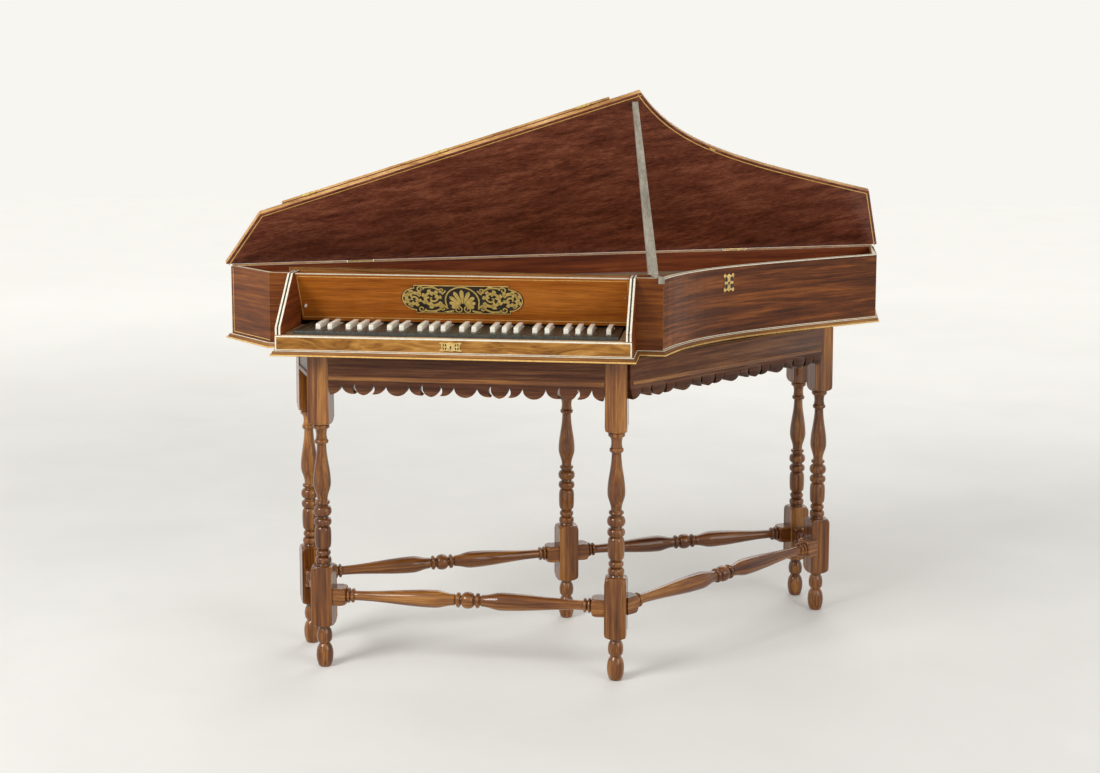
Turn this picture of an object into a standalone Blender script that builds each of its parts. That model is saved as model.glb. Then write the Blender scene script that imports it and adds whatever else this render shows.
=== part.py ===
"""A bentside spinet on a turned walnut stand, lid propped open and keyboard flap folded back.

Metres, +Z up, +X along the keyboard to the treble, +Y to the back. The origin is on the floor, under the
middle of the bounding box. Plan sizes are taken from the case's front left corner.
"""

import math

import bpy
import bmesh
from mathutils import Matrix, Vector

# Driving dimensions
ORIGIN_TO_CORNER = Vector((-0.61925, -0.33846))
GAP = 0.0003

# The row of keys, with a block at each end of it
OCTAVE = 0.160
KEY_PITCH = OCTAVE / 7
NATURALS = "B" + "CDEFGAB" * 4 + "CD"
FIRST_MOVING = 15
LAST_MOVING = 19
KEY_GAP = 0.0005
LEFT_KEY_BLOCK = 0.018
RIGHT_KEY_BLOCK = 0.0159286

# The key box, as wide as its cheeks, blocks and keys
KEYBOX_LEFT = 0.0425
CHEEK = 0.0145
KEYS_LEFT = KEYBOX_LEFT + CHEEK + LEFT_KEY_BLOCK + KEY_GAP
KEYS_RIGHT = KEYS_LEFT + KEY_PITCH * len(NATURALS)
KEYBOX_RIGHT = KEYS_RIGHT + KEY_GAP + RIGHT_KEY_BLOCK + CHEEK
KEYBOX_MIDDLE = (KEYBOX_LEFT + KEYBOX_RIGHT) / 2
KEYBOX_DEPTH = 0.102
CHEEK_BACK = 0.052
LOCK_BOARD = 0.018

# The case in plan
RIGHT_PANEL = 0.059
CASE_FRONT = KEYBOX_RIGHT + RIGHT_PANEL
SPINE_LENGTH = 1.636
SPINE_ANGLE = math.radians(23.6)
SPINE_START = Vector((-0.127, 0.119))
TAIL_SHORT_OF_SPINE = 0.088
TAIL_CORNER = (SPINE_LENGTH - TAIL_SHORT_OF_SPINE, 0.185)
BENTSIDE_PULLS = ((0.998, 0.349), (1.152, 0.299))
BENTSIDE_STEPS = 18
WALL = 0.013
CORNER_BLOCK_DEPTH = 0.055

# Heights of the case
CASE_BOTTOM = 0.707
CASE_DEPTH = 0.168
CASE_TOP = CASE_BOTTOM + CASE_DEPTH
BOTTOM_BOARD = 0.010
LOCK_BOARD_TOP = CASE_BOTTOM + 0.044
CHEEK_STEP = LOCK_BOARD_TOP + 0.017
SOUNDBOARD_TOP = CASE_TOP - 0.0487
SOUNDBOARD = 0.004
PLANK = 0.016
PLANK_BEHIND_NAMEBOARD = 0.0485

# Heights of the keys
KEY_THICKNESS = 0.022
KEY_TOP = LOCK_BOARD_TOP + 0.006
KEY_BOTTOM = KEY_TOP - KEY_THICKNESS
SHARP_TOP = KEY_TOP + 0.011

# The keys
KEY_FRONT = -0.072
HEAD = 0.036
SHARP_FRONT_GAP = 0.0018
SHARP_SLOT = 0.0115
SHARP_BACK = 0.0410
KEY_BLOCK_DEPTH = 0.120
KEY_FRAME = 0.0095
BALANCE_LEFT = 0.095
BALANCE_RIGHT = 0.030

# The nameboard, with its top and foot as places behind the case's front and heights
NAMEBOARD = 0.012
NAMEBOARD_TOP = Vector((0.006, CASE_TOP - 0.001))
NAMEBOARD_FOOT = Vector((0.063, KEY_TOP + 0.004))
PLAQUE_HALF = 0.107
PLAQUE_TALL = 0.038
PLAQUE_LOBE = 0.030
PLAQUE_THICK = 0.0008
KNOB_FROM_CHEEK = 0.014
KNOB_DROP = 0.022

# The jacks, from the bass end to the treble end
JACK_LEFT = Vector((0.020, 0.1706))
JACK_RIGHT = Vector((KEYBOX_RIGHT - 0.009, 0.0705))
JACK_RAIL_HALF = 0.014
JACK_RAIL_THICK = 0.014
JACK_RAIL_TOP = CASE_TOP - 0.006
JACK_RAIL_BOTTOM = JACK_RAIL_TOP - JACK_RAIL_THICK
JACK_HALF = 0.004
JACK_TOP = JACK_RAIL_BOTTOM - 0.009
JACK_BOTTOM = KEY_TOP + 0.023
JACK_SLOT_HALF = 0.0085

# The bridge, as (along the spine, forward of it)
BRIDGE_START = (0.872, 0.400)
BRIDGE_PULLS = ((0.930, 0.300), (1.100, 0.240))
BRIDGE_END = (1.440, 0.105)
BRIDGE_HALF = 0.006
BRIDGE_HEIGHT = 0.011

# The base moulding
MOULDING_HEIGHT = 0.012
MOULDING_OUT = 0.009

# Lid, flap and prop
LID = 0.013
LID_OPEN = math.radians(49.2)
LID_OVERHANG = 0.010
LID_FRONT_OVERHANG = 0.004
HINGE_OUT = 0.0036
BARREL_RADIUS = HINGE_OUT - GAP
EDGE_ROUNDING = 0.0012
FLAP = 0.012
FLAP_WIDTH = 0.150
FLAP_MITRE = 0.0050
FLAP_END_GAP = 0.001
FLAP_HINGE = 0.034
FLAP_HINGES = (KEYBOX_LEFT + 0.0645, KEYBOX_MIDDLE - 0.01075, KEYBOX_RIGHT - 0.063)
SPINE_HINGE = 0.060
SPINE_HINGES = (0.300, 1.250)
PROP_FOOT = Vector((CASE_FRONT - 0.025, 0.038))
PROP_REACH = 0.052
PROP_PIVOT_DROP = 0.007
PROP_THICK = 0.007
PROP_FOOT_WIDTH = 0.022
PROP_TOP_WIDTH = 0.012
PROP_TOP_FORWARD = 0.325
PROP_SIDE_LEAN = 0.010

# The stand
STAND_TOP = CASE_BOTTOM - GAP
BLOCK = 0.046
RAIL = 0.020
RAIL_HEIGHT = 0.048
LIP_HEIGHT = 0.009
LIP_OUT = 0.003
APRON = 0.031
TOP_BLOCK_FOOT = 0.549
LOWER_BLOCK = (0.094, 0.232)
STRETCHER_HEIGHT = 0.163
FRONT_LEGS = -0.0514
LEFT_LEG_IN = 0.086
RIGHT_LEG_IN = 0.095
BACK_LEGS = 0.0988
SIDE_LEG = 0.216
LEGS_ALONG = (0.159, 0.777, 1.385)
LEG_SIDES = 12
SHORT_STRETCHER = 0.06
STRETCHER_SIDES = 10


# Plan geometry

def plan(x, y):
    """A plan point measured from the case's front left corner."""
    return ORIGIN_TO_CORNER + Vector((x, y))


def perpendicular(vector):
    """The plan direction on the right of a direction."""
    return Vector((vector.y, -vector.x))


ALONG = Vector((math.cos(SPINE_ANGLE), math.sin(SPINE_ANGLE)))
FORWARD = perpendicular(ALONG)
CORNER = plan(0, 0)
SPINE_LEFT = CORNER + SPINE_START
SPINE_RIGHT = SPINE_LEFT + ALONG * SPINE_LENGTH
TREBLE_CORNER = plan(CASE_FRONT, 0)


def from_spine(along, forward):
    """A plan point measured along the spine from its left end, and forward of its outer face."""
    return SPINE_LEFT + ALONG * along + FORWARD * forward


def bezier(start, pull_a, pull_b, end, steps):
    """Points of a cubic curve, both ends included."""
    points = []
    for step in range(steps + 1):
        t = step / steps
        s = 1 - t
        points.append(start * s ** 3 + pull_a * 3 * s * s * t + pull_b * 3 * s * t * t + end * t ** 3)
    return points


def offset_loop(points, distance):
    """A closed counterclockwise outline moved outwards, with mitred corners."""
    moved = []
    for index, point in enumerate(points):
        before = perpendicular((point - points[index - 1]).normalized())
        after = perpendicular((points[(index + 1) % len(points)] - point).normalized())
        moved.append(point + (before + after) * distance / (1 + before.dot(after)))
    return moved


def meet(point_a, direction_a, point_b, direction_b):
    """Where two plan lines cross."""
    side = perpendicular(direction_b)
    return point_a + direction_a * ((point_b - point_a).dot(side) / direction_a.dot(side))


BENTSIDE = bezier(TREBLE_CORNER, from_spine(*BENTSIDE_PULLS[0]), from_spine(*BENTSIDE_PULLS[1]),
                  from_spine(*TAIL_CORNER), BENTSIDE_STEPS)
CASE_OUTLINE = [SPINE_LEFT, CORNER] + BENTSIDE + [SPINE_RIGHT]
CASE_INSIDE = offset_loop(CASE_OUTLINE, -WALL)
BENTSIDE_INSIDE = CASE_INSIDE[2:-1]
TAIL_INDEX = len(CASE_OUTLINE) - 2


def jack_y(x):
    """How far behind the case's front the middle of the jack row is."""
    slope = (JACK_RIGHT.y - JACK_LEFT.y) / (JACK_RIGHT.x - JACK_LEFT.x)
    return JACK_LEFT.y + slope * (x - JACK_LEFT.x)


def jack_line(shift):
    """A line beside the jack row, as a plan point and a direction."""
    start = plan(JACK_LEFT.x, JACK_LEFT.y + shift)
    end = plan(JACK_RIGHT.x, JACK_RIGHT.y + shift)
    return start, (end - start).normalized()


# Objects

def clear_scene():
    for obj in list(bpy.data.objects):
        bpy.data.objects.remove(obj, do_unlink=True)


def collection(name):
    made = bpy.data.collections.new(name)
    bpy.context.scene.collection.children.link(made)
    return made


clear_scene()
PARTS = collection("spinet")
CUTTERS = collection("cutters")


def material(name, colour, roughness, metallic=0.0):
    """A plain principled material."""
    made = bpy.data.materials.new(name)
    made.use_nodes = True
    shader = made.node_tree.nodes["Principled BSDF"]
    shader.inputs["Base Color"].default_value = (*colour, 1)
    shader.inputs["Roughness"].default_value = roughness
    shader.inputs["Metallic"].default_value = metallic
    made.diffuse_color = (*colour, 1)
    return made


COLOURS = {
    "stand_walnut": ((0.070, 0.022, 0.012), 0.38, 0.0),
    "case_walnut": ((0.150, 0.052, 0.022), 0.34, 0.0),
    "lid_walnut": ((0.080, 0.024, 0.014), 0.36, 0.0),
    "moulding_walnut": ((0.300, 0.150, 0.050), 0.32, 0.0),
    "burl": ((0.330, 0.140, 0.040), 0.30, 0.0),
    "nameboard_walnut": ((0.380, 0.130, 0.030), 0.34, 0.0),
    "plain_wood": ((0.260, 0.150, 0.070), 0.60, 0.0),
    "spruce": ((0.560, 0.330, 0.110), 0.50, 0.0),
    "ebony": ((0.022, 0.020, 0.018), 0.35, 0.0),
    "ivory": ((0.780, 0.740, 0.620), 0.30, 0.0),
    "brass": ((0.640, 0.420, 0.150), 0.30, 1.0),
    "gilt": ((0.520, 0.380, 0.060), 0.40, 0.2),
    "grey_wood": ((0.420, 0.400, 0.370), 0.55, 0.0),
}


def finish(obj, kind):
    """Puts an object among the parts, with a material of its own."""
    for old in list(obj.users_collection):
        old.objects.unlink(obj)
    PARTS.objects.link(obj)
    obj.data.materials.clear()
    obj.data.materials.append(material(obj.name, *COLOURS[kind]))
    return obj


def hide_cutter(obj):
    """Puts an object among the cutters, out of sight."""
    for old in list(obj.users_collection):
        old.objects.unlink(obj)
    CUTTERS.objects.link(obj)
    obj.hide_render = True
    obj.display_type = "WIRE"
    return obj


def frame(origin, x_axis, y_axis):
    """The placing of a flat outline: where its origin is, and which way its two axes run."""
    x_axis = Vector(x_axis).normalized()
    y_axis = Vector(y_axis).normalized()
    rotation = Matrix((x_axis, y_axis, x_axis.cross(y_axis))).transposed()
    return Matrix.Translation(Vector(origin)) @ rotation.to_4x4()


def extruded(name, outlines, thickness, placing):
    """Flat outlines given a thickness, half on each side of their plane."""
    curve = bpy.data.curves.new(name, "CURVE")
    curve.dimensions = "2D"
    curve.fill_mode = "BOTH"
    curve.extrude = thickness / 2
    for outline in outlines:
        spline = curve.splines.new("POLY")
        spline.points.add(len(outline) - 1)
        for point, place in zip(spline.points, outline):
            point.co = (place[0], place[1], 0, 1)
        spline.use_cyclic_u = True
    obj = bpy.data.objects.new(name, curve)
    obj.matrix_world = placing
    bpy.context.scene.collection.objects.link(obj)
    return obj


def slab(name, outline, bottom, top, kind):
    """A level board with a plan outline."""
    level = Matrix.Translation((0, 0, (bottom + top) / 2))
    return finish(extruded(name, [outline], top - bottom, level), kind)


def as_mesh(obj):
    """A curve object made a mesh with its caps welded, for cutting and joining."""
    bpy.context.view_layer.update()
    evaluated = obj.evaluated_get(bpy.context.evaluated_depsgraph_get())
    mesh = bpy.data.meshes.new_from_object(evaluated)
    work = bmesh.new()
    work.from_mesh(mesh)
    bmesh.ops.remove_doubles(work, verts=work.verts, dist=0.00001)
    bmesh.ops.dissolve_limit(work, angle_limit=0.001, verts=work.verts, edges=work.edges)
    work.to_mesh(mesh)
    work.free()
    name = obj.name
    made = bpy.data.objects.new(name, mesh)
    made.matrix_world = obj.matrix_world
    bpy.data.objects.remove(obj, do_unlink=True)
    made.name = name
    bpy.context.scene.collection.objects.link(made)
    return made


def block(name, size, centre, angle=0.0, rounding=0.0, round_top=False, round_foot=False):
    """A box turned in plan, its end edges rounded where asked."""
    work = bmesh.new()
    bmesh.ops.create_cube(work, size=1)
    bmesh.ops.scale(work, vec=size, verts=work.verts)
    chosen = []
    for edge in work.edges:
        level = edge.verts[0].co.z
        is_flat = abs(edge.verts[1].co.z - level) < 1e-6
        if is_flat and ((level > 0 and round_top) or (level < 0 and round_foot)):
            chosen.append(edge)
    if chosen:
        bmesh.ops.bevel(work, geom=chosen, offset=rounding, segments=2, profile=0.5, affect="EDGES")
    mesh = bpy.data.meshes.new(name)
    work.to_mesh(mesh)
    work.free()
    obj = bpy.data.objects.new(name, mesh)
    obj.location = centre
    obj.rotation_euler.z = angle
    bpy.context.scene.collection.objects.link(obj)
    return obj


def boolean(obj, cutter, operation):
    modifier = obj.modifiers.new(cutter.name, "BOOLEAN")
    modifier.operation = operation
    modifier.object = hide_cutter(cutter)
    return obj


def turned(name, profile, sides):
    """A turned piece about Z from a profile of (radius, height) points, top to bottom."""
    work = bmesh.new()
    verts = [work.verts.new((radius, 0, height)) for radius, height in profile]
    for upper, lower in zip(verts, verts[1:]):
        work.edges.new((upper, lower))
    mesh = bpy.data.meshes.new(name)
    work.to_mesh(mesh)
    work.free()
    obj = bpy.data.objects.new(name, mesh)
    bpy.context.scene.collection.objects.link(obj)
    screw = obj.modifiers.new("turning", "SCREW")
    screw.steps = sides
    screw.render_steps = sides
    screw.use_merge_vertices = True
    screw.merge_threshold = 0.00001
    screw.use_smooth_shade = True
    return obj


def ring(name, outline, out, low, high):
    """A level strip round an outline."""
    edges = [offset_loop(outline, out), offset_loop(outline, GAP)]
    return as_mesh(extruded(name, edges, high - low, Matrix.Translation((0, 0, (low + high) / 2))))


def pivot(name, place, parent=None, axis=(1, 0, 0), angle=0.0):
    """An empty on a joint's axis; what hangs on it is placed from that point."""
    empty = bpy.data.objects.new(name, None)
    empty.location = place
    empty.rotation_mode = "AXIS_ANGLE"
    empty.rotation_axis_angle = (angle, *axis)
    empty.parent = parent
    PARTS.objects.link(empty)
    return empty


# The case

def wall(name, first, kind="case_walnut"):
    """The straight wall from one corner of the case outline to the next, its ends mitred."""
    last = (first + 1) % len(CASE_OUTLINE)
    ends = CASE_OUTLINE[first], CASE_OUTLINE[last]
    inner = CASE_INSIDE[first], CASE_INSIDE[last]
    step = (ends[1] - ends[0]).normalized() * GAP
    outline = [ends[0] + step, ends[1] - step, inner[1] - step, inner[0] + step]
    return slab(name, outline, CASE_BOTTOM, CASE_TOP, kind)


def bentside_wall():
    first = (BENTSIDE[1] - BENTSIDE[0]).normalized() * GAP
    last = (BENTSIDE[-1] - BENTSIDE[-2]).normalized() * GAP
    outer = [BENTSIDE[0] + first] + BENTSIDE[1:-1] + [BENTSIDE[-1] - last]
    inner = [BENTSIDE_INSIDE[0] + first] + BENTSIDE_INSIDE[1:-1] + [BENTSIDE_INSIDE[-1] - last]
    return slab("bentside", outer + inner[::-1], CASE_BOTTOM, CASE_TOP, "case_walnut")


def front_panel_left():
    step = Vector((GAP, 0))
    end = KEYBOX_LEFT - GAP
    outline = [CORNER + step, plan(end, 0), plan(end, WALL), CASE_INSIDE[1] + step]
    return slab("front_panel_left", outline, CASE_BOTTOM, CASE_TOP, "case_walnut")


def front_panel_right():
    """The treble corner, a thick block between the right cheek and the bentside."""
    side = (BENTSIDE_INSIDE[1] - BENTSIDE_INSIDE[0]).normalized()
    clear = BENTSIDE_INSIDE[0] - Vector((2 * GAP, 0))
    back = meet(plan(0, CORNER_BLOCK_DEPTH), Vector((1, 0)), clear, side)
    left = KEYBOX_RIGHT + GAP
    outline = [plan(left, 0), TREBLE_CORNER - Vector((GAP, 0)), clear, back, plan(left, CORNER_BLOCK_DEPTH)]
    return slab("front_panel_right", outline, CASE_BOTTOM, CASE_TOP, "case_walnut")


def bottom_board():
    inside = offset_loop(CASE_OUTLINE, -WALL - GAP)
    block_back = CORNER_BLOCK_DEPTH + GAP
    right = KEYBOX_RIGHT
    side = (BENTSIDE_INSIDE[1] - BENTSIDE_INSIDE[0]).normalized()
    block_end = meet(plan(0, block_back), Vector((1, 0)), inside[2], side)
    keybox = [
        plan(KEYBOX_LEFT, WALL + GAP),
        plan(KEYBOX_LEFT, -KEYBOX_DEPTH + LOCK_BOARD + GAP),
        plan(right, -KEYBOX_DEPTH + LOCK_BOARD + GAP),
        plan(right, block_back),
        block_end,
    ]
    rest = [point for point in inside[3:] if point.y > block_end.y + 0.005]
    outline = [inside[0], inside[1]] + keybox + rest
    return slab("bottom_board", outline, CASE_BOTTOM, CASE_BOTTOM + BOTTOM_BOARD, "plain_wood")


def cheek(name, left):
    """A side of the key box: sloped in front, stepped over the lock board."""
    back = CHEEK_BACK
    low = CASE_BOTTOM + BOTTOM_BOARD + GAP
    behind_lock = -KEYBOX_DEPTH + LOCK_BOARD + GAP
    over_lock = LOCK_BOARD_TOP + GAP
    outline = [
        (behind_lock, low), (back, low), (back, CASE_TOP), (0.0, CASE_TOP),
        (-KEYBOX_DEPTH, CHEEK_STEP), (-KEYBOX_DEPTH, over_lock), (behind_lock, over_lock),
    ]
    place = Vector((*plan(left + CHEEK / 2, 0), 0))
    return finish(extruded(name, [outline], CHEEK, frame(place, (0, 1, 0), (0, 0, 1))), "case_walnut")


def lock_board():
    outline = [
        plan(KEYBOX_LEFT, -KEYBOX_DEPTH), plan(KEYBOX_RIGHT, -KEYBOX_DEPTH),
        plan(KEYBOX_RIGHT, -KEYBOX_DEPTH + LOCK_BOARD), plan(KEYBOX_LEFT, -KEYBOX_DEPTH + LOCK_BOARD),
    ]
    return slab("lock_board", outline, CASE_BOTTOM, LOCK_BOARD_TOP, "burl")


def base_moulding():
    box = [(KEYBOX_LEFT, 0), (KEYBOX_LEFT, -KEYBOX_DEPTH), (KEYBOX_RIGHT, -KEYBOX_DEPTH), (KEYBOX_RIGHT, 0)]
    outline = CASE_OUTLINE[:2] + [plan(*point) for point in box] + CASE_OUTLINE[2:]
    step = CASE_BOTTOM + MOULDING_HEIGHT * 0.45
    foot = ring("base_moulding", outline, MOULDING_OUT, CASE_BOTTOM, step)
    top = ring("moulding_top", outline, MOULDING_OUT * 0.55, step - 0.001, CASE_BOTTOM + MOULDING_HEIGHT)
    return finish(boolean(foot, top, "UNION"), "moulding_walnut")


def nameboard_frame(distance_along, out=0.0):
    """A placing on the nameboard's face: X to the treble, Y up the slope, out from the face."""
    slope = NAMEBOARD_TOP - NAMEBOARD_FOOT
    up = Vector((0, slope.x, slope.y)).normalized()
    middle = (NAMEBOARD_TOP + NAMEBOARD_FOOT) / 2
    front = Vector((1, 0, 0)).cross(up)
    place = Vector((*plan(distance_along, middle.x), middle.y)) + front * out
    return frame(place, (1, 0, 0), up)


def nameboard():
    """The sloping board over the keys, level along its top and foot."""
    width = KEYBOX_RIGHT - KEYBOX_LEFT - 2 * CHEEK - 2 * GAP
    slope = NAMEBOARD_TOP - NAMEBOARD_FOOT
    across = NAMEBOARD * slope.length / slope.y
    back = Vector((across, 0))
    outline = [NAMEBOARD_FOOT, NAMEBOARD_FOOT + back, NAMEBOARD_TOP + back, NAMEBOARD_TOP]
    place = Vector((*plan(KEYBOX_MIDDLE, 0), 0))
    placing = frame(place, (0, 1, 0), (0, 0, 1))
    return finish(extruded("nameboard", [outline], width, placing), "nameboard_walnut")


def nameboard_plaque():
    """The inlaid cartouche: a panel with a rounded lobe at each end."""
    outline = [(-PLAQUE_HALF, -PLAQUE_TALL), (PLAQUE_HALF, -PLAQUE_TALL)]
    outline += lobe_points(PLAQUE_HALF, PLAQUE_LOBE, 1)
    outline += [(PLAQUE_HALF, PLAQUE_TALL), (-PLAQUE_HALF, PLAQUE_TALL)]
    outline += lobe_points(-PLAQUE_HALF, PLAQUE_LOBE, -1)
    placing = nameboard_frame(KEYBOX_MIDDLE, PLAQUE_THICK / 2 + GAP)
    return finish(extruded("nameboard_plaque", [outline], PLAQUE_THICK, placing), "gilt")


def lobe_points(start, radius, side):
    """A half circle at one end of the cartouche."""
    points = []
    for step in range(9):
        turn = math.pi * (step / 8 - 0.5)
        points.append((start + side * radius * math.cos(turn), side * radius * math.sin(turn)))
    return points


def nameboard_knob():
    """The small ivory knob near the nameboard's bass end."""
    profile = [(0, 0.008), (0.0028, 0.0072), (0.0036, 0.005), (0.0026, 0.0026), (0.0022, 0), (0, 0)]
    knob = turned("nameboard_knob", profile, 10)
    placing = nameboard_frame(KEYBOX_LEFT + CHEEK + KNOB_FROM_CHEEK, GAP)
    knob.matrix_world = placing @ Matrix.Translation((0, -KNOB_DROP, 0))
    return finish(knob, "ivory")


# Inside the case

def wrest_plank():
    front = NAMEBOARD_TOP.x + PLANK_BEHIND_NAMEBOARD
    clear = KEYBOX_LEFT - GAP
    left = offset_loop(CASE_OUTLINE, -WALL - GAP)
    line, direction = jack_line(-JACK_SLOT_HALF)
    right = KEYBOX_RIGHT - GAP
    back_left = meet(line, direction, left[0], ALONG)
    back_right = plan(right, jack_y(right) - JACK_SLOT_HALF)
    outline = [
        left[0], left[1] + Vector((0, GAP)), plan(clear, WALL + 2 * GAP), plan(clear, front),
        plan(right, front), back_right, back_left,
    ]
    return slab("wrest_plank", outline, SOUNDBOARD_TOP - PLANK, SOUNDBOARD_TOP, "plain_wood")


def soundboard():
    inside = offset_loop(CASE_OUTLINE, -WALL - GAP)
    line, direction = jack_line(JACK_SLOT_HALF)
    front_left = meet(line, direction, inside[0], ALONG)
    curve = inside[2:TAIL_INDEX + 1]
    behind = [point for point in curve if (point - line).dot(perpendicular(direction)) < 0]
    first = behind[0]
    before = curve[curve.index(first) - 1]
    front_right = meet(line, direction, first, (first - before).normalized())
    outline = [front_left, front_right] + behind + [inside[-1]]
    return slab("soundboard", outline, SOUNDBOARD_TOP - SOUNDBOARD, SOUNDBOARD_TOP, "spruce")


def bridge():
    """The curved bridge, which follows the bentside a hand's breadth inside it."""
    middle = bezier(*(from_spine(*place) for place in (BRIDGE_START, *BRIDGE_PULLS, BRIDGE_END)), 14)
    left, right = [], []
    for index, point in enumerate(middle):
        ahead = middle[min(index + 1, len(middle) - 1)]
        behind = middle[max(index - 1, 0)]
        side = perpendicular((ahead - behind).normalized()) * BRIDGE_HALF
        left.append(point - side)
        right.append(point + side)
    bottom = SOUNDBOARD_TOP + GAP
    return slab("bridge", right + left[::-1], bottom, bottom + BRIDGE_HEIGHT, "stand_walnut")


def jack_strip(name, half, bottom, top, kind):
    """A straight strip over the jack line, from the spine to the treble corner."""
    right = KEYBOX_RIGHT - 2 * GAP
    inside = offset_loop(CASE_OUTLINE, -WALL - GAP)[0]
    front, direction = jack_line(-half)
    back, direction = jack_line(half)
    outline = [
        meet(front, direction, inside, ALONG), plan(right, jack_y(right) - half),
        plan(right, jack_y(right) + half), meet(back, direction, inside, ALONG),
    ]
    return slab(name, outline, bottom, top, kind)


# The keyboard

def tail_edges(index):
    """Left and right edges of a natural's narrow tail, from the note's place in its group."""
    letter = NATURALS[index]
    group = "CDE" if letter in "CDE" else "FGAB"
    place = group.index(letter)
    count = len(group)
    tail = (count * KEY_PITCH - (count - 1) * SHARP_SLOT) / count
    group_left = KEYS_LEFT + (index - place) * KEY_PITCH
    left = group_left + place * (tail + SHARP_SLOT)
    right = left + tail
    head_left = KEYS_LEFT + index * KEY_PITCH
    if not has_sharp(index - 1):
        left = head_left
    if not has_sharp(index):
        right = head_left + KEY_PITCH
    return left, right


def has_sharp(index):
    """Whether a sharp follows this natural."""
    inside = 0 < index < len(NATURALS) - 1
    return inside and NATURALS[index] in "CDFGA"


def finger(index, back):
    """A natural's outline from its back left, along its front, to its back right."""
    half = KEY_GAP / 2
    left, right = tail_edges(index)
    head_left = KEYS_LEFT + index * KEY_PITCH
    head_right = head_left + KEY_PITCH
    shoulder = KEY_FRONT + HEAD
    return [
        (left + half, back(left)), (left + half, shoulder), (head_left + half, shoulder),
        (head_left + half, KEY_FRONT), (head_right - half, KEY_FRONT), (head_right - half, shoulder),
        (right - half, shoulder), (right - half, back(right)),
    ]


def without_repeats(points):
    """Drops points that lie on the one before."""
    kept = [points[0]]
    for point in points[1:]:
        if math.dist(point, kept[-1]) > 1e-6:
            kept.append(point)
    return kept


def key_back(x):
    return jack_y(x) + 0.006


def strip_front(x):
    return jack_y(x) - 0.004


def fixed_naturals(name, first, last):
    """A run of naturals held together by a strip at their hidden back ends."""
    points = []
    for index in range(first, last + 1):
        points += finger(index, strip_front)
    start, end = points[0][0], points[-1][0]
    points += [(end, key_back(end)), (start, key_back(start))]
    outline = [plan(x, y) for x, y in without_repeats(points)]
    return slab(name, outline, KEY_BOTTOM, KEY_TOP, "ebony")


def balance_y(x):
    """Where a key rocks, behind the case's front."""
    share = (x - KEYS_LEFT) / (KEYS_RIGHT - KEYS_LEFT)
    return BALANCE_LEFT + (BALANCE_RIGHT - BALANCE_LEFT) * share


def sharp_centre(index):
    return (tail_edges(index)[1] + tail_edges(index + 1)[0]) / 2


def sharp_outline(x):
    """A sharp's side view: its hidden lever and its raised top, which slopes at the front."""
    front = KEY_FRONT + HEAD + SHARP_FRONT_GAP
    back = strip_front(x) - 2 * KEY_GAP
    return [
        (front, KEY_BOTTOM), (back, KEY_BOTTOM), (back, KEY_TOP), (SHARP_BACK, KEY_TOP),
        (SHARP_BACK, SHARP_TOP), (front + 0.005, SHARP_TOP), (front, SHARP_TOP - 0.004),
    ]


def sharp_strip_y(x):
    return jack_y(x) - 0.030


def sharp_solid(name, index, origin_y=0.0, origin_z=0.0):
    x = sharp_centre(index)
    outline = [(y - origin_y, z - origin_z) for y, z in sharp_outline(x)]
    place = Vector((*plan(x, origin_y), origin_z))
    return extruded(name, [outline], SHARP_SLOT - KEY_GAP, frame(place, (0, 1, 0), (0, 0, 1)))


def fixed_sharps(name, first, last):
    """A run of sharps held together by a strip that passes under the naturals."""
    chosen = [index for index in range(first, last + 1) if has_sharp(index)]
    left = sharp_centre(chosen[0]) - 0.003
    right = sharp_centre(chosen[-1]) + 0.003
    half = 0.004
    outline = [
        plan(left, sharp_strip_y(left) - half), plan(right, sharp_strip_y(right) - half),
        plan(right, sharp_strip_y(right) + half), plan(left, sharp_strip_y(left) + half),
    ]
    low = KEY_BOTTOM - 0.0065
    high = KEY_BOTTOM - 0.0005
    strip = as_mesh(extruded(name, [outline], high - low, Matrix.Translation((0, 0, (low + high) / 2))))
    for index in chosen:
        boolean(strip, as_mesh(sharp_solid(f"{name}_{index}", index)), "UNION")
        x = sharp_centre(index)
        foot = (*plan(x, sharp_strip_y(x)), KEY_BOTTOM - 0.0005)
        boolean(strip, block(f"{name}_foot_{index}", (0.008, 0.010, 0.003), foot), "UNION")
    return finish(strip, "ivory")


def moving_natural(name, index):
    """One natural, its origin where it rocks on the balance rail."""
    x = KEYS_LEFT + (index + 0.5) * KEY_PITCH
    origin = plan(x, balance_y(x))
    outline = [plan(*point) - origin for point in without_repeats(finger(index, key_back))]
    thickness = KEY_TOP - KEY_BOTTOM
    key = as_mesh(extruded(name, [outline], thickness, Matrix.Translation((0, 0, thickness / 2))))
    key.data.transform(key.matrix_world)
    key.matrix_world = Matrix.Translation((*origin, KEY_BOTTOM))
    return finish(key, "ebony")


def moving_sharp(name, index):
    x = sharp_centre(index)
    return finish(sharp_solid(name, index, balance_y(x), KEY_BOTTOM), "ivory")


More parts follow.
